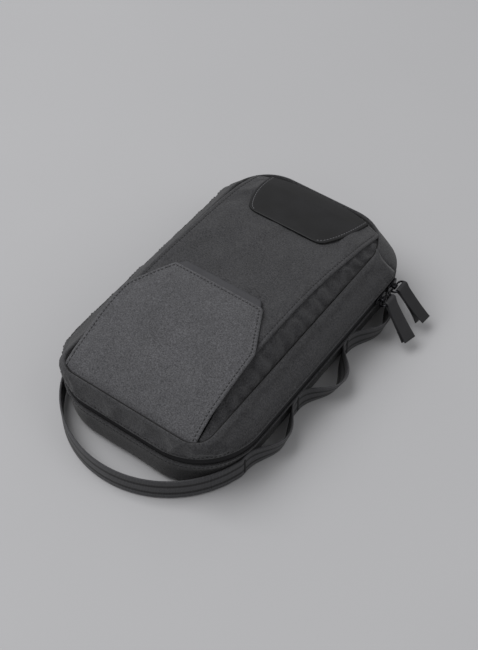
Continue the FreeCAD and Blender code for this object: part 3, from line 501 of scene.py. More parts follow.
# black electroplated zinc: mirror-like but soft at the edges, with a few dull rubbed spots
def blackPlate(name):
    material, tree, shader = newMaterial(name)
    place = node(tree, "ShaderNodeTexCoord").outputs["Object"]
    rub = node(tree, "ShaderNodeTexNoise", {"Vector": place, "Scale": 400.0, "Detail": 4.0})
    rough = node(tree, "ShaderNodeMapRange", {"Value": rub.outputs[0], "To Min": 0.16, "To Max": 0.36})
    tree.links.new(rough.outputs[0], shader.inputs["Roughness"])
    tree.links.new(blendColour(tree, rub.outputs[0], "#17171a", "#2a2a2e"), shader.inputs["Base Color"])
    shader.inputs["Metallic"].default_value = 0.75
    return material


# nylon coil or thread: one dark tone with a slight gloss
def nylon(name, dark, light, roughness):
    material, tree, shader = newMaterial(name)
    place = node(tree, "ShaderNodeTexCoord").outputs["Object"]
    tone = node(tree, "ShaderNodeTexNoise", {"Vector": place, "Scale": 500.0, "Detail": 2.0})
    tree.links.new(blendColour(tree, tone.outputs[0], dark, light), shader.inputs["Base Color"])
    twist = node(tree, "ShaderNodeBump", {"Height": tone.outputs[0], "Strength": 0.3, "Distance": 0.0001})
    tree.links.new(twist.outputs[0], shader.inputs["Normal"])
    shader.inputs["Roughness"].default_value = roughness
    return material


bodyCloth = heatherWeave("heathered polyester", "#272729", "#424244")
# the flap's copy of the body cloth is painted lighter, standing in for the extra light on the flap's top
litFlapCloth = heatherWeave("heathered polyester, flap, painted lighter", "#363638", "#58585b", slack=0.7)
stripCloth = plainCloth("coated strip", "#37373a", "#3e3e41", rib=700.0, roughness=0.6)
liningCloth = plainCloth("taffeta lining", "#2b2b2d", "#3a3a3d")
tapeCloth = plainCloth("zip tape", "#141416", "#1f1f21", rib=1000.0)
foamFill = plainCloth("padding foam", "#4a4a4d", "#58585b", rib=300.0, roughness=0.95)
webbing = webbingWeave("nylon webbing")
leather = satinLeather("satin cowhide", "#141415", "#1d1d1f", roughness=0.5)
tabLeather = satinLeather("tab cowhide", "#1d1d1f", "#29292b", roughness=0.5)
plate = blackPlate("black plated zinc")
coilNylon = nylon("coil nylon", "#101012", "#1d1d20", 0.45)
thread = nylon("bonded thread", "#111113", "#1b1b1d", 0.7)
patchThread = nylon("bonded thread, patch", "#505053", "#5e5e61", 0.6)
# near-black nylon that paints the shade in the front seam's groove, for the seam shadow cord
seamShadowNylon = nylon("painted seam shadow", "#060607", "#0c0c0d", 0.9)
print("materials made")


# gives a piece its material and its body, and hides the CAD nodes it stands for
def finishPiece(piece, material, body, nodes=()):
    piece.data.materials.clear()
    piece.data.materials.append(material)
    if body:
        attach(piece, body)
    if nodes:
        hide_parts(*nodes)


# stitches or bar tacks, as one piece of thread
def finishThread(name, parts, body, material=thread, nodes=()):
    finishPiece(makeMesh(name, *joined(parts), tidy=False), material, body, nodes)


bandStep = 2.6


# a band that follows the outline from place start to place end, through the heights of the profile (z, then the side,
# near and far insets, then the near and far corner radii); returns its points and outward directions
def bandGrid(profile, rows, start, end, ends=0.8):
    lines = smoothRows(profile, rows)
    t = around(start, end, bandStep)[None, :]
    x, y, nx, ny = outline(t, *(lines[:, k:k + 1] for k in range(1, 6)))
    points = np.stack([x, y, np.broadcast_to(lines[:, :1], x.shape)], -1)
    # the cloth turns in at the seams at both ends
    arc = np.cumsum(np.concatenate([np.zeros((rows, 1)), np.linalg.norm(np.diff(points, axis=1), axis=2)], 1), 1)
    near = np.minimum(arc, arc[:, -1:] - arc)
    dip = ends * np.exp(-(near / 1.3) ** 2)
    points[:, :, 0] -= nx * dip
    points[:, :, 1] -= ny * dip
    return points, np.stack([nx, ny, 0 * nx], -1)


# length along a band at each of its columns
def bandRun(grid):
    return bandStep * np.arange(1, grid.shape[1] + 1)


lowerProfile = [(0.25, 12.6, 9.4, 8.4, 40, 24), (0.1, 11.4, 8.2, 7.2, 41, 25), (0.5, 9.9, 6.6, 5.9, 42, 26),
                (1.6, 8.2, 4.6, 4.2, 44, 28), (3.4, 6.9, 3.0, 2.6, 45.5, 29.5), (6.0, 5.9, 1.8, 1.4, 46.5, 30.5),
                (10.0, 5.4, 1.2, 0.9, 47, 31), (15.0, 5.3, 1.0, 0.8, 47, 31), (19.5, 5.2, 0.9, 0.8, 47, 31),
                (22.5, 4.4, 0.6, 0.6, 47.5, 31.5), (25.0, 2.8, 0.2, 0.3, 48.5, 32.5), (27.2, 1.2, 0, 0, 49.5, 33.5),
                (28.8, 0.3, -0.2, -0.1, 50, 34), (29.7, 0.2, -0.1, 0, 50, 34), (30.0, 0.8, 0.7, 0.7, 49.3, 33.3),
                (29.6, 1.6, 1.6, 1.6, 48.5, 32.5)]
upperProfile = [(38.4, 1.6, 1.6, 1.6, 48.5, 32.5), (38.0, 0.8, 0.7, 0.7, 49.3, 33.3), (38.3, 0.2, -0.1, 0, 50, 34),
                (39.4, 0.0, -0.3, -0.1, 50, 34), (41.2, 0.2, -0.4, -0.2, 49, 34), (43.6, 0.9, -0.3, -0.2, 46, 36),
                (46.2, 2.1, 0.0, -0.2, 41, 38), (48.8, 3.8, 0.4, -0.2, 35, 40), (51.4, 6.2, 0.9, -0.1, 29, 41),
                (53.8, 9.0, 1.6, 0.1, 24, 41), (56.2, 12.0, 2.2, 0.6, 20, 39), (57.9, 14.2, 2.9, 1.2, 18, 37),
                (58.4, 15.5, 3.7, 1.9, 17, 35), (57.8, 16.6, 4.5, 2.6, 16, 33.7), (56.2, 17.3, 5.0, 3.1, 15.5, 33.3),
                (53.8, 17.6, 5.3, 3.3, 15, 33)]
# place on the outline of the seam between the right side panels and the end panel
endPlace = 0.81


def buildLowerShell():
    # back half: the gusset from the rolled bottom edge up to the folded lip under the zip
    rows = 44
    grid, out = bandGrid(lowerProfile, rows, endPlace, 7 - endPlace)
    z = grid[:, :, 2]
    wave = 0.35 * ripple(bandRun(grid), z * 1.6, 3, 34.0)
    grid -= out * (wave * ease(z, 1, 4) * (1 - ease(z, 24, 28)))[:, :, None]
    shell = makeMesh("lowerSidePanel", *thickSheet(grid, 1.3, -out))
    finishPiece(shell, bodyCloth, "back_half", ["lower_side_panel", "lower_side_padding"])
    # the stitch line lies on the rising rows, below where the lip turns over
    rising = 38
    row = np.interp(27.6, smoothRows(lowerProfile, rows)[:rising, 0], np.arange(rising))
    line = onGrid(grid, normalsTowards(grid, out), row, np.arange(grid.shape[1]))
    finishThread("lowerLipStitches", [stitchRow(*line)], "back_half")


def buildUpperShell():
    # front half: the padded side panel from the folded lip over the zip to the front seam
    rows = 40
    grid, out = bandGrid(upperProfile, rows, endPlace, 7 - endPlace)
    z = grid[:, :, 2]
    steps = bandRun(grid)
    lineRow = int(rows * 12.4 / 15)
    slack = ease(z, 39.5, 42) * (1 - ease(z, 54.5, 57))
    wave = 0.5 * ripple(steps, z * 2, 11, 38.0) + 0.25 * ripple(steps, z * 3, 12, 15.0)
    grid += out * (wave * slack)[:, :, None]
    pins = 1 - ease(z, 39.6, 41) * (1 - ease(z, 55.5, 57))
    pins[lineRow:] = 1
    pins[:, :2] = pins[:, -2:] = 1
    grid = leanIn(settle("upper side panel", grid, pins, 0.6, 0.02, 1.6))
    shell = makeMesh("upperSidePanel", *thickSheet(grid, 1.4, -out - np.array([0, 0, 0.5])))
    finishPiece(shell, bodyCloth, "lid", ["upper_side_panel", "upper_side_padding"])
    rising = 8
    row = np.interp(41.3, smoothRows(upperProfile, rows)[rising:, 0], np.arange(rising, rows))
    line = onGrid(grid, normalsTowards(grid, out), row, np.arange(grid.shape[1]))
    finishThread("upperLipStitches", [stitchRow(*line)], "lid")


def buildEndPanel():
    # end panel at the patch end: one cloth from the bottom edge to the front seam, across the hinge
    profile = lowerProfile[:11] + [(27.5, 1.1, 0, 0.1, 49.5, 33), (31.0, 0.4, -0.1, 0, 50, 33.6),
                                   (35.0, 0.2, -0.2, -0.1, 50, 33.8), (38.5, 0.1, -0.3, -0.1, 50, 34)]
    profile += upperProfile[4:]
    grid, out = bandGrid(profile, 64, 7 - endPlace, 8 + endPlace)
    z = grid[:, :, 2]
    grid -= out * (0.4 * ripple(bandRun(grid), z, 21, 30.0) * ease(z, 2, 6) * (1 - ease(z, 54, 57)))[:, :, None]
    panel = makeMesh("endPanel", *thickSheet(leanIn(grid), 1.3, -out))
    panel.data.materials.append(bodyCloth)
    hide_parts("end_panel_lower", "end_panel_upper")
    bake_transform(panel)


def buildBack():
    # back pad: fabric over foam, flat where it lies, with a sewn edge and a shallow channel round it
    t = around(0, 8, 3.0)[:-1]
    x, y, _, _ = outline(t, 11.2, 8.0, 7.0, 41, 25)
    share = np.array([0.0, 0.12, 0.3, 0.5, 0.68, 0.8, 0.86, 0.9, 0.925, 0.95, 0.975, 0.99, 1.0])
    low = np.array([0, 0, 0, 0, 0, 0, 0, 0.45, 0.55, 0.1, 0.25, 0.8, 2.0])
    middle = np.array([0.0, 1.0])
    rim = np.stack([x, y], -1)
    bottom = np.concatenate([middle + (rim - middle) * s for s in share])
    grid = np.concatenate([bottom.reshape(len(share), -1, 2),
                           np.broadcast_to(low[:, None, None], (len(share), len(t), 1))], 2)
    top = grid[::-1].copy()
    top[:, :, 2] = np.array([4.0, 6.0, 7.0, 7.4, 7.6, 7.7, 7.75, 7.8, 7.8, 7.8, 7.8, 7.8, 7.8])[:, None]
    both = np.concatenate([grid, top])
    pad = makeMesh("backPanel", both.reshape(-1, 3), gridFaces(len(both), len(t), wrap=True))
    finishPiece(pad, bodyCloth, "back_half", ["back_panel", "back_padding"])


panelHeights = [(126, 56.4), (123, 57.8), (118, 60.0), (111, 62.4), (104, 64.3), (87, 67.5), (62, 71.6), (35, 74.7),
                (5, 76.6), (-14, 77.0), (-34, 77.0), (-55, 75.0), (-74, 71.1)]
pocket = {"half": 56.5, "far": 123.6, "bow": 0.0031, "mouth": -74.0, "fold": 1.15, "flange": 2.6, "stitchIn": 3.2}


upward = np.array([0, 0, 1.0])


# half width of the pocket panel at y: a little wider towards the patch end
def panelHalf(y):
    return 55.8 + 2.6 * ease(y, 20, 112)


# the panel's far edge bows: it lies further in towards its ends
def panelFar(x):
    return pocket["far"] - pocket["bow"] * np.asarray(x) ** 2


def panelTop(x, y):
    crown = (1.0 + 2.4 * ease(y, 84, 114)) * (np.abs(x) / pocket["half"]) ** 2.6
    return smoothAt(panelHeights, y) - crown


# height of a folded and stitched edge at distance d from it: a round fold, then a groove under the thread
def foldedEdge(d, fold, groove=0.45, at=3.2, wide=0.9):
    part = np.clip(1 - d / (1.4 * fold), 0, 1)
    return -fold * (1 - np.sqrt(1 - part ** 2)) - groove * np.exp(-((d - at) / wide) ** 2)


def buildPocketPanel():
    # pocket panel: a crowned sheet with folded edges along both sides
    v = np.concatenate([np.linspace(0, 0.04, 9), np.linspace(0.05, 0.97, 84), np.linspace(0.975, 1, 6)])
    u = np.sin(np.linspace(-1, 1, 71) * math.pi / 2)
    half = panelHalf(pocket["far"] - v * 190)[:, None]
    x = half * u[None, :]
    edge = panelFar(x)
    yy = edge - v[:, None] * (edge - pocket["mouth"])
    d = np.minimum(half - np.abs(x), edge - yy + 1.6)
    z = panelTop(x, yy)
    slack = ease(d, 3.5, 14)
    z = z + slack * (0.7 * ripple(x, yy, 31, 50.0) + 0.3 * ripple(x, yy, 32, 18.0))
    grid = np.stack([x, yy, z], -1)
    pins = 1 - ease(d, 2.5, 6.0)
    pins[-3:] = 1
    grid = leanIn(settle("pocket panel", grid, pins, 0.15, 0.008, 1.2))
    grid[:, :, 2] += foldedEdge(d, pocket["fold"], at=pocket["stitchIn"])
    panel = makeMesh("pocketPanel", *thickSheet(grid, 2.4, -upward))
    finishPiece(panel, bodyCloth, "lid", ["pocket_panel", "panel_backing", "panel_lining"])
    normals = normalsTowards(grid, upward)
    parts = []
    rows = np.linspace(4, len(v) - 8, 120)
    for side in (-1, 1):
        want = side * (1 - pocket["stitchIn"] / np.interp(rows, np.arange(len(v)), half[:, 0]))
        cols = np.interp(want, u, np.arange(len(u)))
        parts.append(stitchRow(*onGrid(grid, normals, rows, cols)))
    finishThread("panelStitches", parts, "lid")


def buildGussets():
    # side walls of the pocket: slack cloth between the front seam and the panel's fold, puckered along both
    for side, name, nodeName, seed in ((1, "pocketGussetRight", "pocket_gusset_right", 41),
                                       (-1, "pocketGussetLeft", "pocket_gusset_left", 46)):
        # the foot follows the front seam, the head the panel's stitch line; both start mid-way along the patch end
        footT = np.concatenate([around(7.5, 8, 2.2)[:-1], around(8, 9, 2.2)[:-1], around(9, 10.4, 2.2)])
        fx, fy, _, _ = outline(footT, 17.4, 5.2, 3.1, 15.5, 33.2)
        fx = np.abs(fx)
        keep = fy > -119.5
        fx, fy = fx[keep] * (1.0 if side > 0 else bag["leftScale"]), fy[keep]
        run = np.cumsum(np.concatenate([[0], np.hypot(np.diff(fx), np.diff(fy))]))
        # head: along the far edge, round its corner, down the side to the mouth, then falling to the seam
        farX = np.linspace(0, 53, 30)
        sideY = np.linspace(105, -74, 86)
        hx = np.concatenate([farX, [55.0, 56.0], panelHalf(sideY) - pocket["flange"], np.linspace(54.2, 60.0, 18)])
        hy = np.concatenate([panelFar(farX) - 0.6, [112.6, 109.5], sideY, np.linspace(-76, -117, 18)])
        hz = panelTop(hx, np.maximum(hy, -74.0)) - 1.5
        hz = np.where(hy < -74, 69.0 + (57.4 - 69.0) * np.clip((-74 - hy) / 43, 0, 1) ** 0.85, hz)
        headRun = np.cumsum(np.concatenate([[0], np.hypot(np.diff(hx), np.diff(hy))]))
        count = 150
        share = np.linspace(0, 1, count)
        foot = np.stack([np.interp(share * run[-1], run, c) for c in (fx, fy)] + [np.full(count, 55.7)], -1)
        head = np.stack([np.interp(share * headRun[-1], headRun, c) for c in (hx, hy, hz)], -1)
        rows = 17
        v = np.linspace(0, 1, rows)[:, None, None]
        grid = foot[None] + (head - foot)[None] * v
        # the wall stands up first and then leans in, so it bellies outward between its seams
        tall = (head - foot)[:, 2]
        belly = np.sin(math.pi * v[:, :, 0]) * np.minimum(tall, 14)[None, :] * 0.1
        outX = np.clip(foot[:, 0] / 60, 0, 1)
        grid[:, :, 0] += belly * outX[None, :]
        grid[:, :, 2] += belly * 0.5
        distance = np.broadcast_to(share * run[-1], (rows, count))
        fade = np.sin(math.pi * np.linspace(0, 1, rows))[:, None] ** 0.8
        depth = np.minimum(tall, 12)[None, :] / 12
        folds = 0.8 * ripple(distance, v[:, :, 0] * tall * 0.8, seed, 17.0)
        folds = folds + 0.5 * ripple(distance, v[:, :, 0] * 8, seed + 1, 8.0)
        grid[:, :, 0] += fade * depth * folds * outX[None, :]
        grid[:, :, 2] += fade * depth * folds * 0.4
        grid[:, :, 0] *= side
        pins = np.ones((rows, count))
        pins[2:-2, 3:-3] = 0
        grid = leanIn(settle(name, grid, pins, 0.25, 0.05, 2.2))
        wall = makeMesh(name, *thickSheet(grid, 1.0, np.array([-side, 0, -0.6])))
        finishPiece(wall, bodyCloth, "lid", [nodeName])


# painted seam shadow: a black cord laid in the groove of the front seam, all the way round, standing in for the shade
# in that groove
def buildSeamShadowCord():
    t = around(0, 8, 1.6)[:-1]
    x, y, nx, ny = outline(t, 17.4, 5.4, 3.4, 15.4, 33.2)
    path = leanIn(np.stack([x, y, np.full_like(x, 56.3)], -1))
    sideWay = np.stack([nx, ny, 0 * nx], -1)
    upWay = np.tile([0.0, 0.0, 1.0], (len(x), 1))
    cord = makeMesh("seamShadowCord", *closedTube(path, sideWay, upWay, circle(0.75)))
    finishPiece(cord, seamShadowNylon, "lid")


patch = {"near": 67.8, "far": 117.2, "follow": 84.0, "thick": 1.3, "stitchIn": 2.5,
         "halves": [(67.8, 24.0), (68.0, 27.5), (68.6, 30.2), (70.0, 32.8), (72.5, 35.0), (76.5, 37.2), (82.0, 39.6),
                    (88.0, 41.6), (94.0, 43.1), (101.0, 44.3), (108.0, 45.1), (117.2, 45.6)]}


def buildPatch():
    # leather patch: smooth hide with a burnished edge, stitched down its curved ends, caught in the far seam
    share = np.concatenate([np.linspace(0, 0.03, 10), np.linspace(0.04, 0.97, 44), np.linspace(0.975, 1, 6)])
    y0 = patch["near"] + (patch["far"] - patch["near"]) * share
    half = smoothAt(patch["halves"], y0)
    u = np.sin(np.linspace(-1, 1, 61) * math.pi / 2)
    x = half[:, None] * u
    # rows follow the bowed far edge more and more closely as they near it
    yy = y0[:, None] + (panelFar(x) - patch["far"]) * ease(y0, patch["follow"], patch["far"])[:, None]
    slope = np.gradient(half, y0)[:, None]
    d = np.minimum((half[:, None] - np.abs(x)) / np.sqrt(1 + slope ** 2), yy - patch["near"])
    edge = np.clip(1 - d / 0.8, 0, 1)
    lift = patch["thick"] * np.sqrt(1 - edge ** 2) - 0.25 * np.exp(-((d - patch["stitchIn"]) / 0.5) ** 2)
    under = panelTop(x, yy) + 0.1
    bottom = np.stack([x, yy, under], -1)
    top = bottom + upward * lift[:, :, None]
    rows, cols = top.shape[:2]
    hide = makeMesh("leatherPatch", *closedSheet(top, bottom))
    finishPiece(hide, leather, "lid", ["leather_patch"])
    normals = normalsTowards(top, upward)
    rowsAt = np.linspace(np.interp(69.6, y0, np.arange(rows)), rows - 2, 70)
    parts = []
    for side in (-1, 1):
        halves = np.interp(rowsAt, np.arange(rows), half)
        slopes = np.interp(rowsAt, np.arange(rows), slope[:, 0])
        want = side * (1 - patch["stitchIn"] * np.sqrt(1 + np.minimum(slopes ** 2, 1.6)) / halves)
        parts.append(stitchRow(*onGrid(top, normals, rowsAt, np.interp(want, u, np.arange(cols))),
                               pitch=2.6, length=1.9, radius=0.36))
    finishThread("patchStitches", parts, "lid", patchThread)


flap = {"tip": -14.0, "root": -124.3, "thick": 2.4, "stitchIn": 2.6}
flapHeights = [(-4, 79.9), (-14, 80.0), (-34, 80.0), (-55, 78.3), (-74, 74.9), (-92, 70.4), (-106, 65.9),
               (-115, 61.6), (-119, 58.9), (-121.5, 56.4), (-123, 54.4), (-124.3, 52.6)]


# half width of the flap at y: straight to the shoulders, then slanting in to the free edge, corners rounded
def flapHalf(y):
    corners = [(-124.3, 59.6), (-118.0, 59.4), (-100.0, 58.4), (-70.0, 57.9), (-54.0, 57.5),
               (-50.8, 57.2), (-48.5, 56.5), (-46.0, 55.4), (-40.0, 52.2), (-30.0, 47.1), (-20.0, 42.0),
               (-16.8, 40.3), (-15.4, 39.4), (-14.6, 38.6), (-14.15, 37.7), (-14.0, 36.5)]
    return np.interp(y, *np.transpose(corners))


def buildFlap():
    # flap: two cloths round a stiffener, folded edges stitched 2.6 mm in, sewn to the near seam
    v = np.concatenate([np.linspace(0, 0.02, 8), np.linspace(0.03, 0.96, 74),
                        1 - 0.035 * np.linspace(1, 0, 14) ** 1.6])
    y = flap["root"] + v * (flap["tip"] - flap["root"])
    u = np.sin(np.linspace(-1, 1, 75) * math.pi / 2)
    half = flapHalf(y)
    x = half[:, None] * u
    yy = np.broadcast_to(y[:, None], x.shape)
    slope = np.gradient(half, y)[:, None]
    d = np.minimum((half[:, None] - np.abs(x)) / np.sqrt(1 + np.minimum(slope ** 2, 0.5)), flap["tip"] - yy)
    # the left edge swells outward over its middle
    x = np.where(x < 0, x * (1 + 0.035 * np.exp(-((yy + 76) / 30) ** 2)), x)
    heights = smoothAt(flapHeights, yy.ravel()).reshape(x.shape) - 0.7 * (np.abs(x) / 58) ** 2.4
    slack = ease(d, 3, 12) * ease(yy, -122, -113)
    loose = 0.45 * ripple(x, yy, 51, 40.0) + 0.15 * ripple(x, yy, 52, 14.0)
    middle = np.stack([x, yy, heights + slack * loose], -1)
    pins = 1 - ease(d, 2.5, 7.0) * ease(yy, -121, -115)
    middle = leanIn(settle("flap", middle, pins, 0.12, 0.006, 1.0))
    fold = 1.1
    edge = np.clip(1 - d / (1.5 * fold), 0, 1)
    thick = flap["thick"] * np.sqrt(1 - edge ** 2) - 0.32 * np.exp(-((d - flap["stitchIn"]) / 0.8) ** 2)
    upper, lower = middle.copy(), middle.copy()
    upper[:, :, 2] += -flap["thick"] / 2 + thick / 2
    lower[:, :, 2] += -flap["thick"] / 2 - thick / 2
    cols = upper.shape[1]
    # the flap's cloth is the body cloth painted lighter for the light on its top
    leaf = makeMesh("flapOuter", *closedSheet(upper, lower, rims=1))
    leaf.data.materials.append(litFlapCloth)
    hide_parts("flap_outer", "flap_stiffener", "flap_lining")
    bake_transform(leaf)
    normals = normalsTowards(upper, upward)
    inset = flap["stitchIn"]
    ys = np.linspace(-120.5, flap["tip"] - inset, 110)
    rowsAt = np.interp(ys, y, np.arange(len(y)))
    parts = []
    edges = []
    for side in (-1, 1):
        slopeAt = np.interp(ys, y, slope[:, 0])
        want = side * (1 - inset * np.sqrt(1 + np.minimum(slopeAt ** 2, 0.5)) / flapHalf(ys))
        cols0 = np.interp(want, u, np.arange(cols))
        edges.append((rowsAt, cols0))
        parts.append(stitchRow(*onGrid(upper, normals, rowsAt, cols0)))
    tipRow = rowsAt[-1]
    colsTip = np.linspace(edges[0][1][-1], edges[1][1][-1], 60)
    parts.append(stitchRow(*onGrid(upper, normals, np.full(60, tipRow), colsTip)))
    stitches = makeMesh("flapStitches", *joined(parts), tidy=False)
    stitches.data.materials.append(thread)
    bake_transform(stitches)

    # pull strip: a doubled smooth strip caught between the flap's two cloths
    strip = {"half": 37.4, "out": 6.2, "thick": 0.9}
    ys = np.linspace(-20, flap["tip"] + strip["out"], 26)
    into = np.clip(ys - (flap["tip"] + strip["out"] - 2.2), 0, 2.2)
    halves = strip["half"] - 0.62 * np.clip(ys + 14, 0, 9) - 1.8 * (1 - np.sqrt(1 - (into / 2.201) ** 2))
    u = np.linspace(-1, 1, 49)
    x = halves[:, None] * u
    yy = np.broadcast_to(ys[:, None], x.shape)
    d = np.minimum(halves[:, None] - np.abs(x), flap["tip"] + strip["out"] - yy)
    z = 78.55 + 0.25 * ripple(x, yy, 61, 24.0) * ease(yy, -14, -8) - 0.05 * np.clip(yy + 14, 0, 9)
    rise = strip["thick"] / 2 * np.sqrt(1 - np.clip(1 - d / 0.6, 0, 1) ** 2)
    faces = (np.stack([x, yy, z + rise], -1), np.stack([x, yy, z - rise], -1))
    tongue = makeMesh("pullStrip", *closedSheet(*faces, rims=1))
    finishPiece(tongue, stripCloth, "flap", ["flap_pull_strip"])


web = {"thick": 1.5, "wide": 20.0, "bottom": 0.9, "wall": 77.1, "tacks": [107.0, 41.0, -25.0, -91.0],
       "bulges": [9.8, 11.4, 8.8], "leans": [0.30, 0.42, 0.28], "handleRadius": 80.75, "handleMiddle": -72.0}


# how far the sewn webbing moves in at y to stay on the wall: it follows the far corner, and the left wall's lean
def wallShift(x, y, side):
    corner = -np.clip(y - 96, 0, None) ** 2 / 62
    return corner - (1 - bag["leftScale"]) * x * ease(y, -95, -60) * (side < 0)


# centre line of the webbing on one side: flat at the tacks, a raised cosine between them
def sideLine(bulges, side):
    x = web["wall"] + web["thick"] / 2
    pts = [(x, 110.4), (x, 108.5)]
    for k, bulge in enumerate(bulges):
        a, b = web["tacks"][k] - 2.6, web["tacks"][k + 1] + 2.6
        share = np.linspace(0, 1, 34)
        lift = bulge * (1 - np.cos(2 * math.pi * share)) / 2
        lean = -0.06 * bulge * np.sin(2 * math.pi * share)
        pts += list(zip(x + lift, a + (b - a) * share + lean))
    pts += [(x, -92.2), (x - 0.15, -94.5)]
    turn = np.linspace(math.radians(66.5), math.radians(56.5), 5)
    pts += list(zip(web["handleRadius"] * np.sin(turn), web["handleMiddle"] - web["handleRadius"] * np.cos(turn)))
    pts = np.array(pts)
    run = np.concatenate([[0], np.cumsum(np.hypot(*np.diff(pts, axis=0).T))])
    marks = np.linspace(0, run[-1], int(run[-1] / 1.1))
    line = np.stack([np.interp(marks, run, pts[:, k]) for k in (0, 1)], -1)
    kernel = np.array([1, 2, 3, 2, 1]) / 9
    for k in (0, 1):
        line[2:-2, k] = np.convolve(line[:, k], kernel, "valid")
    line[:, 0] = side * (line[:, 0] + wallShift(line[:, 0], line[:, 1], side))
    return line


# section across the webbing: two sunk channels on each face and rounded selvedges
def webSection():
    across = np.concatenate([[-10, -9.8, -9.4], np.linspace(-8.6, 8.6, 27), [9.4, 9.8, 10]])
    sunk = 0.28 * np.exp(-((np.abs(across) - 4.1) / 1.15) ** 4)
    edge = np.clip((np.abs(across) - 9.2) / 0.8, 0, 1)
    half = web["thick"] / 2 * np.sqrt(np.clip(1 - edge ** 2, 0.02, 1)) - sunk
    face = np.stack([half, across], -1)
    back = np.stack([-half, across], -1)[::-1]
    return np.concatenate([face, back]), np.concatenate([across, across[::-1]])


# a strip of webbing standing on edge along a line of (x, y), with its length and width as its UV map
def webStrip(name, line, tilt=None):
    way = np.gradient(line, axis=0)
    way /= np.linalg.norm(way, axis=1, keepdims=True)
    side = np.stack([way[:, 1], -way[:, 0], 0 * way[:, 0]], -1)
    up = np.tile([0.0, 0.0, 1.0], (len(line), 1))
    path = np.concatenate([line, np.full((len(line), 1), web["bottom"])], 1)
    if tilt is not None:
        # the lower edge stays on its line, the upper edge leans outward
        side, up = (side * np.cos(tilt)[:, None] + up * np.sin(tilt)[:, None],
                    up * np.cos(tilt)[:, None] - side * np.sin(tilt)[:, None])
    path += up * web["wide"] / 2
    section, across = webSection()
    points, faces = sweep(path, side, up, section)
    run = np.concatenate([[0], np.cumsum(np.linalg.norm(np.diff(path, axis=0), axis=1))])
    uv = np.stack([np.repeat(run, len(section)), np.tile(across / 20 + 0.5, len(line))], -1)
    return makeMesh(name, points, faces, uv=uv)


def buildWebbing():
    rightLine = sideLine(web["bulges"], 1)
    tilt = np.zeros(len(rightLine))
    for k, lean in enumerate(web["leans"]):
        share = np.clip((rightLine[:, 1] - web["tacks"][k]) / (web["tacks"][k + 1] - web["tacks"][k]), 0, 1)
        tilt += lean * (1 - np.cos(2 * math.pi * share)) / 2
    right = webStrip("sideWebbingRight", rightLine, tilt)
    finishPiece(right, webbing, "back_half", ["side_webbing_right"])
    left = webStrip("sideWebbingLeft", sideLine([0.0, 0.0, 0.0], -1))
    finishPiece(left, webbing, "back_half", ["side_webbing_left"])
    # carry handle: the same webbing round an arc, from tack to tack
    turn = np.radians(np.linspace(-56.6, 56.6, 150))
    arc = np.stack([web["handleRadius"] * np.sin(turn), web["handleMiddle"] - web["handleRadius"] * np.cos(turn)], -1)
    handle = webStrip("carryHandle", arc)
    handle.data.materials.append(webbing)
    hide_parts("carry_handle")
    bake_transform(handle)
    # bar tacks: twenty-odd close threads across the webbing, on both of its sides
    for sign, name, nodeName in ((1, "barTacksRight", "bar_tacks_right"), (-1, "barTacksLeft", "bar_tacks_left")):
        parts = []
        for y in web["tacks"]:
            z = np.arange(3.8, 18.4, 0.62)
            lean = 0.25 * np.where(np.arange(len(z)) % 2 == 0, 1, -1)
            outer = web["wall"] + web["thick"] + 0.12
            outer += wallShift(outer, y, sign)
            place = np.stack([np.full_like(z, sign * outer), np.full_like(z, y), z], -1)
            way = np.stack([0 * z, np.cos(lean), np.sin(lean)], -1)
            out = np.tile([float(sign), 0.0, 0.0], (len(z), 1))
            parts.append(copies(stitchShape(2.4, 0.36), place, way, np.cross(out, way), out))
        finishThread(name, parts, "back_half", nodes=[nodeName])


def buildZip():
    # zip: two tapes whose folded edges meet at the middle, coil teeth behind them
    for nodeTape, nodeCoil, name, body, low, high, seed in (
            ("lower_zip_tape", "lower_zip_coil", "lowerZip", "back_half", 27.6, 33.93, 1),
            ("upper_zip_tape", "upper_zip_coil", "upperZip", "lid", 40.4, 34.07, 2)):
        zs = np.linspace(low, high, 12)
        bow = 0.35 * np.exp(-((zs - high) / 1.6) ** 2)
        inset = 1.75 - bow
        profile = np.stack([zs, inset, inset, inset, 50 - inset, 34 - inset], -1)
        grid, out = bandGrid(profile, 16, endPlace, 7 - endPlace, ends=0)
        tape = makeMesh(name + "Tape", *thickSheet(grid, 0.7, -out))
        finishPiece(tape, tapeCloth, body, [nodeTape])
        t = around(endPlace, 7 - endPlace, 1.25)
        t = t[:-1] + (0.5 if seed == 2 else 0.0) * np.diff(t)
        x, y, nx, ny = outline(t, 3.0, 3.0)
        middle = high + (1.0 if seed == 2 else -1.0) * 0.75
        place = np.stack([x, y, np.full_like(x, middle)], -1)
        up = np.tile([0.0, 0.0, 1.0], (len(t), 1))
        outward = np.stack([nx, ny, 0 * nx], -1)
        coil = makeMesh(name + "Coil", *copies(stitchShape(2.2, 0.42), place, up, np.cross(outward, up), outward),
                        tidy=False)
        finishPiece(coil, coilNylon, body, [nodeCoil])


slider = {"long": 13.4, "tall": 6.8, "plateThick": 1.6, "middle": 80.2, "places": [78.5, 95.5], "height": 34.0,
          "halfGap": 1.4, "knuckle": 1.9}
# x of the ring's pin, from the slider's middle
pinOut = slider["halfGap"] + slider["plateThick"] + slider["knuckle"]


# outline of a slider plate: a shield, full at its wide end and drawn in at its throat, as (along, across)
def shieldOutline(count=40):
    turn = np.arange(count) * 2 * math.pi / count
    a, b = np.cos(turn), np.sin(turn)
    along = slider["long"] / 2 * np.sign(a) * np.abs(a) ** 0.62
    across = slider["tall"] / 2 * np.sign(b) * np.abs(b) ** 0.7
    across = across * (0.93 + 0.07 * np.tanh(along / 3))
    return along, across


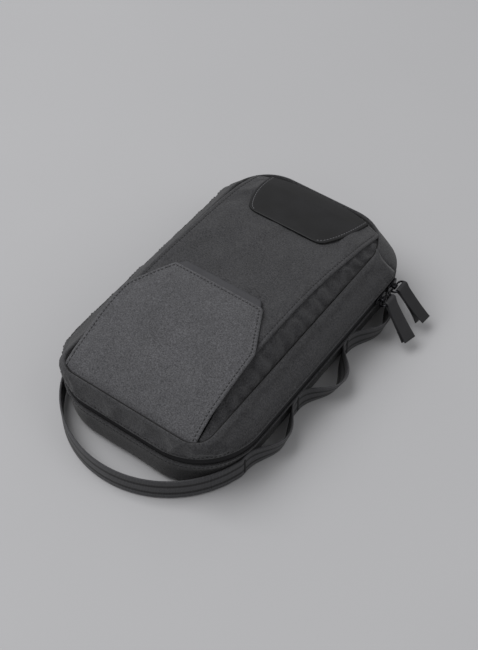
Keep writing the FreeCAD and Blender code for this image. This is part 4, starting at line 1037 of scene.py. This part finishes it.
# a plate with a rounded rim: rings of the outline, drawn in as they near each face
def roundedPlate(x0, x1, rim):
    along, across = shieldOutline()
    rings = []
    turn = np.linspace(0, math.pi / 2, 5)
    inset = np.concatenate([[1.0, 0.6], rim * (1 - np.sin(turn)) / 3.4, rim * (1 - np.cos(turn)) / 3.4, [0.6, 1.0]])
    depth = np.concatenate([[x0, x0], x0 + rim * (1 - np.cos(turn)), x1 - rim * (1 - np.sin(turn)), [x1, x1]])
    for shrink, x in zip(inset, depth):
        scale = 1 - min(shrink, 0.999)
        rings.append(np.stack([np.full_like(along, x), along * scale, across * scale], -1))
    grid = np.array(rings)
    return grid.reshape(-1, 3), [list(f) for f in gridFaces(len(rings), len(along), wrap=True)]


def buildSliders():
    half = slider["halfGap"]
    for letter, y in zip("ab", slider["places"]):
        parts = [roundedPlate(half, half + slider["plateThick"], 0.55),
                 roundedPlate(-half - slider["plateThick"], -half, 0.55)]
        # post between the rows
        turn = np.arange(16) * 2 * math.pi / 16
        post = np.stack([1.9 * np.cos(turn), 0.48 * np.sin(turn)], -1)
        path = np.stack([np.linspace(-half - 0.3, half + 0.3, 3), np.zeros(3), np.zeros(3)], -1)
        parts.append(sweep(path, np.tile([0, 1.0, 0], (3, 1)), np.tile([0, 0, 1.0], (3, 1)), post))
        # knuckle for the ring: a short barrel on a tapered neck
        lug = pinOut
        barrel = []
        ends = np.array([-2.2, -1.9, -0.7, 0.7, 1.9, 2.2])
        outer = np.array([1.55, 1.85, 1.9, 1.9, 1.85, 1.55])
        turn = np.arange(28) * 2 * math.pi / 28
        for e, r in list(zip(ends, outer)) + [(2.2, 1.02), (-2.2, 1.02)]:
            barrel.append(np.stack([lug + r * np.cos(turn), np.full(28, e), r * np.sin(turn)], -1))
        barrel = np.array(barrel)
        parts.append((barrel.reshape(-1, 3), loopFaces(len(barrel), 28).tolist()))
        neckPath = np.stack([np.linspace(half + 1.2, lug - 1.25, 5), np.zeros(5), np.zeros(5)], -1)
        neck = circle(1.0, 16)[None] * np.array([3.4, 2.7, 2.2, 2.0, 1.9])[:, None, None] * np.array([1.0, 0.62])
        parts.append(sweep(neckPath, np.tile([0, 1.0, 0], (5, 1)), np.tile([0, 0, 1.0], (5, 1)), neck))
        points, faces = joined(parts)
        points = points + np.array([slider["middle"], y, slider["height"]])
        body = makeMesh("slider" + letter.upper(), points, faces)
        finishPiece(body, plate, "slider_" + letter, ["slider_" + letter])


# x and z turned down by an angle about the y axis
def tipped(x, z, angle):
    return x * math.cos(angle) + z * math.sin(angle), -x * math.sin(angle) + z * math.cos(angle)


ring = {"long": 13.2, "wide": 6.4, "wire": 0.78, "droop": -25.0}


def buildRings():
    # ring: round wire bent to a rounded oblong, its inner side through the knuckle
    lug = slider["middle"] + pinOut
    for letter, y in zip("ab", slider["places"]):
        turn = np.arange(72) * 2 * math.pi / 72
        a, b = np.cos(turn), np.sin(turn)
        px = ring["wide"] / 2 + ring["wide"] / 2 * np.sign(a) * np.abs(a) ** 0.55
        py = ring["long"] / 2 * np.sign(b) * np.abs(b) ** 0.5
        path = np.stack([px, py, 0 * px], -1)
        way = np.roll(path, -1, 0) - np.roll(path, 1, 0)
        way /= np.linalg.norm(way, axis=1, keepdims=True)
        up = np.tile([0.0, 0.0, 1.0], (72, 1))
        points, faces = closedTube(path, np.cross(way, up), up, circle(ring["wire"], 14))
        x, z = tipped(points[:, 0], points[:, 2], math.radians(ring["droop"]))
        points = np.stack([x + lug, points[:, 1] + y, z + slider["height"]], -1)
        hoop = makeMesh("ring" + letter.upper(), points, faces)
        finishPiece(hoop, plate, "ring_" + letter, ["ring_" + letter])


tab = {"wide": 11.2, "long": 34.0, "thick": 1.2, "droop": 52.0, "eye": 1.62, "halfGap": 0.62,
       "spread": {"a": (0.9, -0.9), "b": (3.2, -2.6)}, "bend": {"a": 1.2, "b": -1.6},
       "twist": {"a": 0.16, "b": -0.12}, "swing": {"a": -0.13, "b": 0.1}}


def buildTabs():
    # pull tab: one strip folded over the ring, its two leaves lying together and parting a little at the end
    lug = slider["middle"] + pinOut
    lean = math.radians(ring["droop"])
    startX, startZ = lug + ring["wide"] * math.cos(lean), slider["height"] - ring["wide"] * math.sin(lean)
    for letter, y in zip("ab", slider["places"]):
        top, low = tab["spread"][letter]
        down = np.linspace(1, 0.11, 34)
        leafX = tab["long"] * down
        flare = down ** 3
        upper = np.stack([leafX, tab["halfGap"] + top * flare + tab["bend"][letter] * down ** 2], -1)
        lower = np.stack([leafX * 0.985, low * flare - tab["halfGap"] + tab["bend"][letter] * down ** 2], -1)
        turn = np.linspace(math.radians(62), math.radians(298), 22)
        fold = np.stack([tab["eye"] * np.cos(turn), tab["eye"] * np.sin(turn)], -1)
        line = np.concatenate([upper, fold, lower[::-1]])
        for _ in range(2):
            line[1:-1] = (line[:-2] + 2 * line[1:-1] + line[2:]) / 4
        count = len(line)
        way = np.gradient(line, axis=0)
        way /= np.linalg.norm(way, axis=1, keepdims=True)
        normal = np.stack([-way[:, 1], 0 * way[:, 0], way[:, 0]], -1)
        path = np.stack([line[:, 0], 0 * line[:, 0], line[:, 1]], -1)
        side = np.tile([0.0, 1.0, 0.0], (count, 1))
        # the leaf turns a little about its own length towards its end
        angle = tab["twist"][letter] * np.clip(line[:, 0] / tab["long"], 0, 1) ** 1.5
        across = np.concatenate([[-1.0, -0.985, -0.95], np.linspace(-0.86, 0.86, 9), [0.95, 0.985, 1.0]])
        full = np.array([0.15, 0.6, 0.9] + [1.0] * 9 + [0.9, 0.6, 0.15])
        half = tab["thick"] / 2
        section = np.concatenate([np.stack([across * tab["wide"] / 2, full * half], -1),
                                  np.stack([across[::-1] * tab["wide"] / 2, -full[::-1] * half], -1)])
        points, faces = sweep(path, side, normal, section)
        # the ends are cut at a slant
        grid = points.reshape(count, len(section), 3)
        slant = 0.16 * grid[:, :, 1] * np.clip(grid[:, :, 0] / tab["long"], 0, 1) ** 6
        grid[:, :, 0] += slant
        turned = grid.copy()
        turned[:, :, 1] = grid[:, :, 1] * np.cos(angle)[:, None]
        turned[:, :, 2] = grid[:, :, 2] + grid[:, :, 1] * np.sin(angle)[:, None]
        yTurn = turned[:, :, 1] + tab["swing"][letter] * turned[:, :, 0]
        x, z = tipped(turned[:, :, 0], turned[:, :, 2], math.radians(tab["droop"]))
        points = np.stack([x + startX, yTurn + y, z + startZ], -1).reshape(-1, 3)
        strip = makeMesh("pullTab" + letter.upper(), points, faces)
        finishPiece(strip, tabLeather, "tab_" + letter, ["pull_tab_" + letter])


def buildInside():
    # linings of both halves: taffeta over foam, from the zip facing round the wall and across the panel
    t = around(0, 8, 3.5)[:-1]
    insets = [2.9, 9.6, 11.6, 11.8, 12.3, 14.0, 17.5, 24, 45, 68, 82.2]
    for name, body, nodes, heights in (
            ("trayLiner", "back_half", ["back_lining", "lower_side_lining", "lower_facing"],
             [28.6, 28.2, 27.0, 20.0, 13.5, 10.4, 9.2, 8.9, 8.8, 8.8, 8.8]),
            ("lidLiner", "lid", ["divider_lining", "upper_side_lining", "upper_facing"],
             [39.4, 39.8, 41.0, 44.0, 47.0, 49.6, 50.8, 51.2, 51.3, 51.3, 51.3])):
        rows = []
        for z, inset in zip(heights, insets):
            reach = min(inset, 40)
            x, y, _, _ = outline(t, reach, reach, reach, max(50 - inset, 16), max(34 - inset, 12))
            if inset > 40:
                # past 40 mm the rings shrink towards the middle
                x, y = x * (82.3 - inset) / 42.3, 1 + (y - 1) * (82.3 - inset) / 42.3
            rows.append(np.stack([x, y, np.full_like(x, z)], -1))
        grid = np.array(rows)
        away = -1.0 if body == "back_half" else 1.0
        x, y = grid[:, :, 0], grid[:, :, 1]
        grid[4:, :, 2] += 0.25 * ripple(x[4:], y[4:], 71, 40.0)
        lower = grid + np.array([0, 0, away * 0.5])
        lower[:6, :, :2] *= 1.004
        both = np.concatenate([grid, lower[::-1]])
        liner = makeMesh(name, both.reshape(-1, 3), gridFaces(len(both), len(t), wrap=True))
        finishPiece(liner, liningCloth, body, nodes)
    # divider: the cloth at the back of the pocket
    x, y, _, _ = outline(t, 17.9, 6.0, 3.8, 15, 32)
    share = [0.02, 0.3, 0.6, 0.85, 0.97, 1.0, 1.0, 0.6, 0.02]
    height = [55.6, 55.6, 55.6, 55.7, 55.9, 55.7, 54.8, 54.6, 54.6]
    rows = [np.stack([x * s, 1 + (y - 1) * s, np.full_like(x, z)], -1) for s, z in zip(share, height)]
    grid = np.array(rows)
    sheet = makeMesh("dividerPanel", grid.reshape(-1, 3), gridFaces(len(grid), len(t), wrap=True))
    finishPiece(sheet, bodyCloth, "lid", ["divider_panel"])


hiddenFinish = {"divider_padding": foamFill, "lower_seam_binding": tapeCloth, "upper_seam_binding": tapeCloth,
                "panel_magnets": plate, "flap_magnets": plate}


def finishHidden():
    # pieces sealed inside keep their CAD shape and get their own finish
    for name, material in hiddenFinish.items():
        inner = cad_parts[name]
        inner.data.materials.clear()
        inner.data.materials.append(material)


buildLowerShell()
buildUpperShell()
buildEndPanel()
buildBack()
print("shells made")
buildPocketPanel()
buildGussets()
buildSeamShadowCord()
buildPatch()
buildFlap()
print("pocket and flap made")
buildWebbing()
buildZip()
buildSliders()
buildRings()
buildTabs()
buildInside()
finishHidden()
print("trim and lining made")


view = {"azimuth": 35.83, "elevation": 49.94, "distance": 0.89906, "target": (0.0095, -0.0024, 0.030), "lens": 66.84}
studio = {"floor": "#a8a8aa", "world": 0.44, "keyPower": 62.0, "keySize": 2.0, "fillPower": 3.0}


def buildStage():
    # floor: pale matte paper, wide enough to fill the view
    size = 3.0
    mesh = bpy.data.meshes.new("floor")
    mesh.from_pydata([(-size, -size, 0), (size, -size, 0), (size, size, 0), (-size, size, 0)], [], [(0, 1, 2, 3)])
    floor = bpy.data.objects.new("floor", mesh)
    bpy.context.scene.collection.objects.link(floor)
    material, tree, shader = newMaterial("pale paper")
    place = node(tree, "ShaderNodeTexCoord").outputs["Object"]
    tone = node(tree, "ShaderNodeTexNoise", {"Vector": place, "Scale": 6.0, "Detail": 2.0})
    tree.links.new(blendColour(tree, tone.outputs[0], studio["floor"], "#ababad"), shader.inputs["Base Color"])
    shader.inputs["Roughness"].default_value = 0.9
    shader.inputs["Specular IOR Level"].default_value = 0.1
    mesh.materials.append(material)
    world = bpy.data.worlds.new("studio")
    bpy.context.scene.world = world
    world.use_nodes = True
    world.node_tree.nodes["Background"].inputs[0].default_value = (1, 1, 1, 1)
    world.node_tree.nodes["Background"].inputs[1].default_value = studio["world"]
    for name, place, power, size in (("key", (-1.1, -0.6, 2.4), studio["keyPower"], studio["keySize"]),
                                     ("fill", (1.2, 0.2, 1.2), studio["fillPower"], 1.0)):
        lamp = bpy.data.lights.new(name, "AREA")
        lamp.energy = power
        lamp.size = size
        light = bpy.data.objects.new(name, lamp)
        light.location = place
        direction = np.array([0, 0, 0.03]) - np.array(place)
        light.rotation_mode = "QUATERNION"
        light.rotation_quaternion = Vector(direction).to_track_quat("-Z", "Y")
        bpy.context.scene.collection.objects.link(light)


def buildCamera():
    a, e = math.radians(view["azimuth"]), math.radians(view["elevation"])
    back = Vector((math.sin(a) * math.cos(e), -math.cos(a) * math.cos(e), math.sin(e)))
    lens = bpy.data.cameras.new("camera")
    lens.lens = view["lens"]
    lens.sensor_width = 36.0
    camera = bpy.data.objects.new("camera", lens)
    camera.location = Vector(view["target"]) + back * view["distance"]
    camera.rotation_mode = "QUATERNION"
    camera.rotation_quaternion = (-back).to_track_quat("-Z", "Y")
    bpy.context.scene.collection.objects.link(camera)
    bpy.context.scene.camera = camera


buildStage()
buildCamera()
bpy.context.scene.view_settings.view_transform = "Standard"
print("stage made")
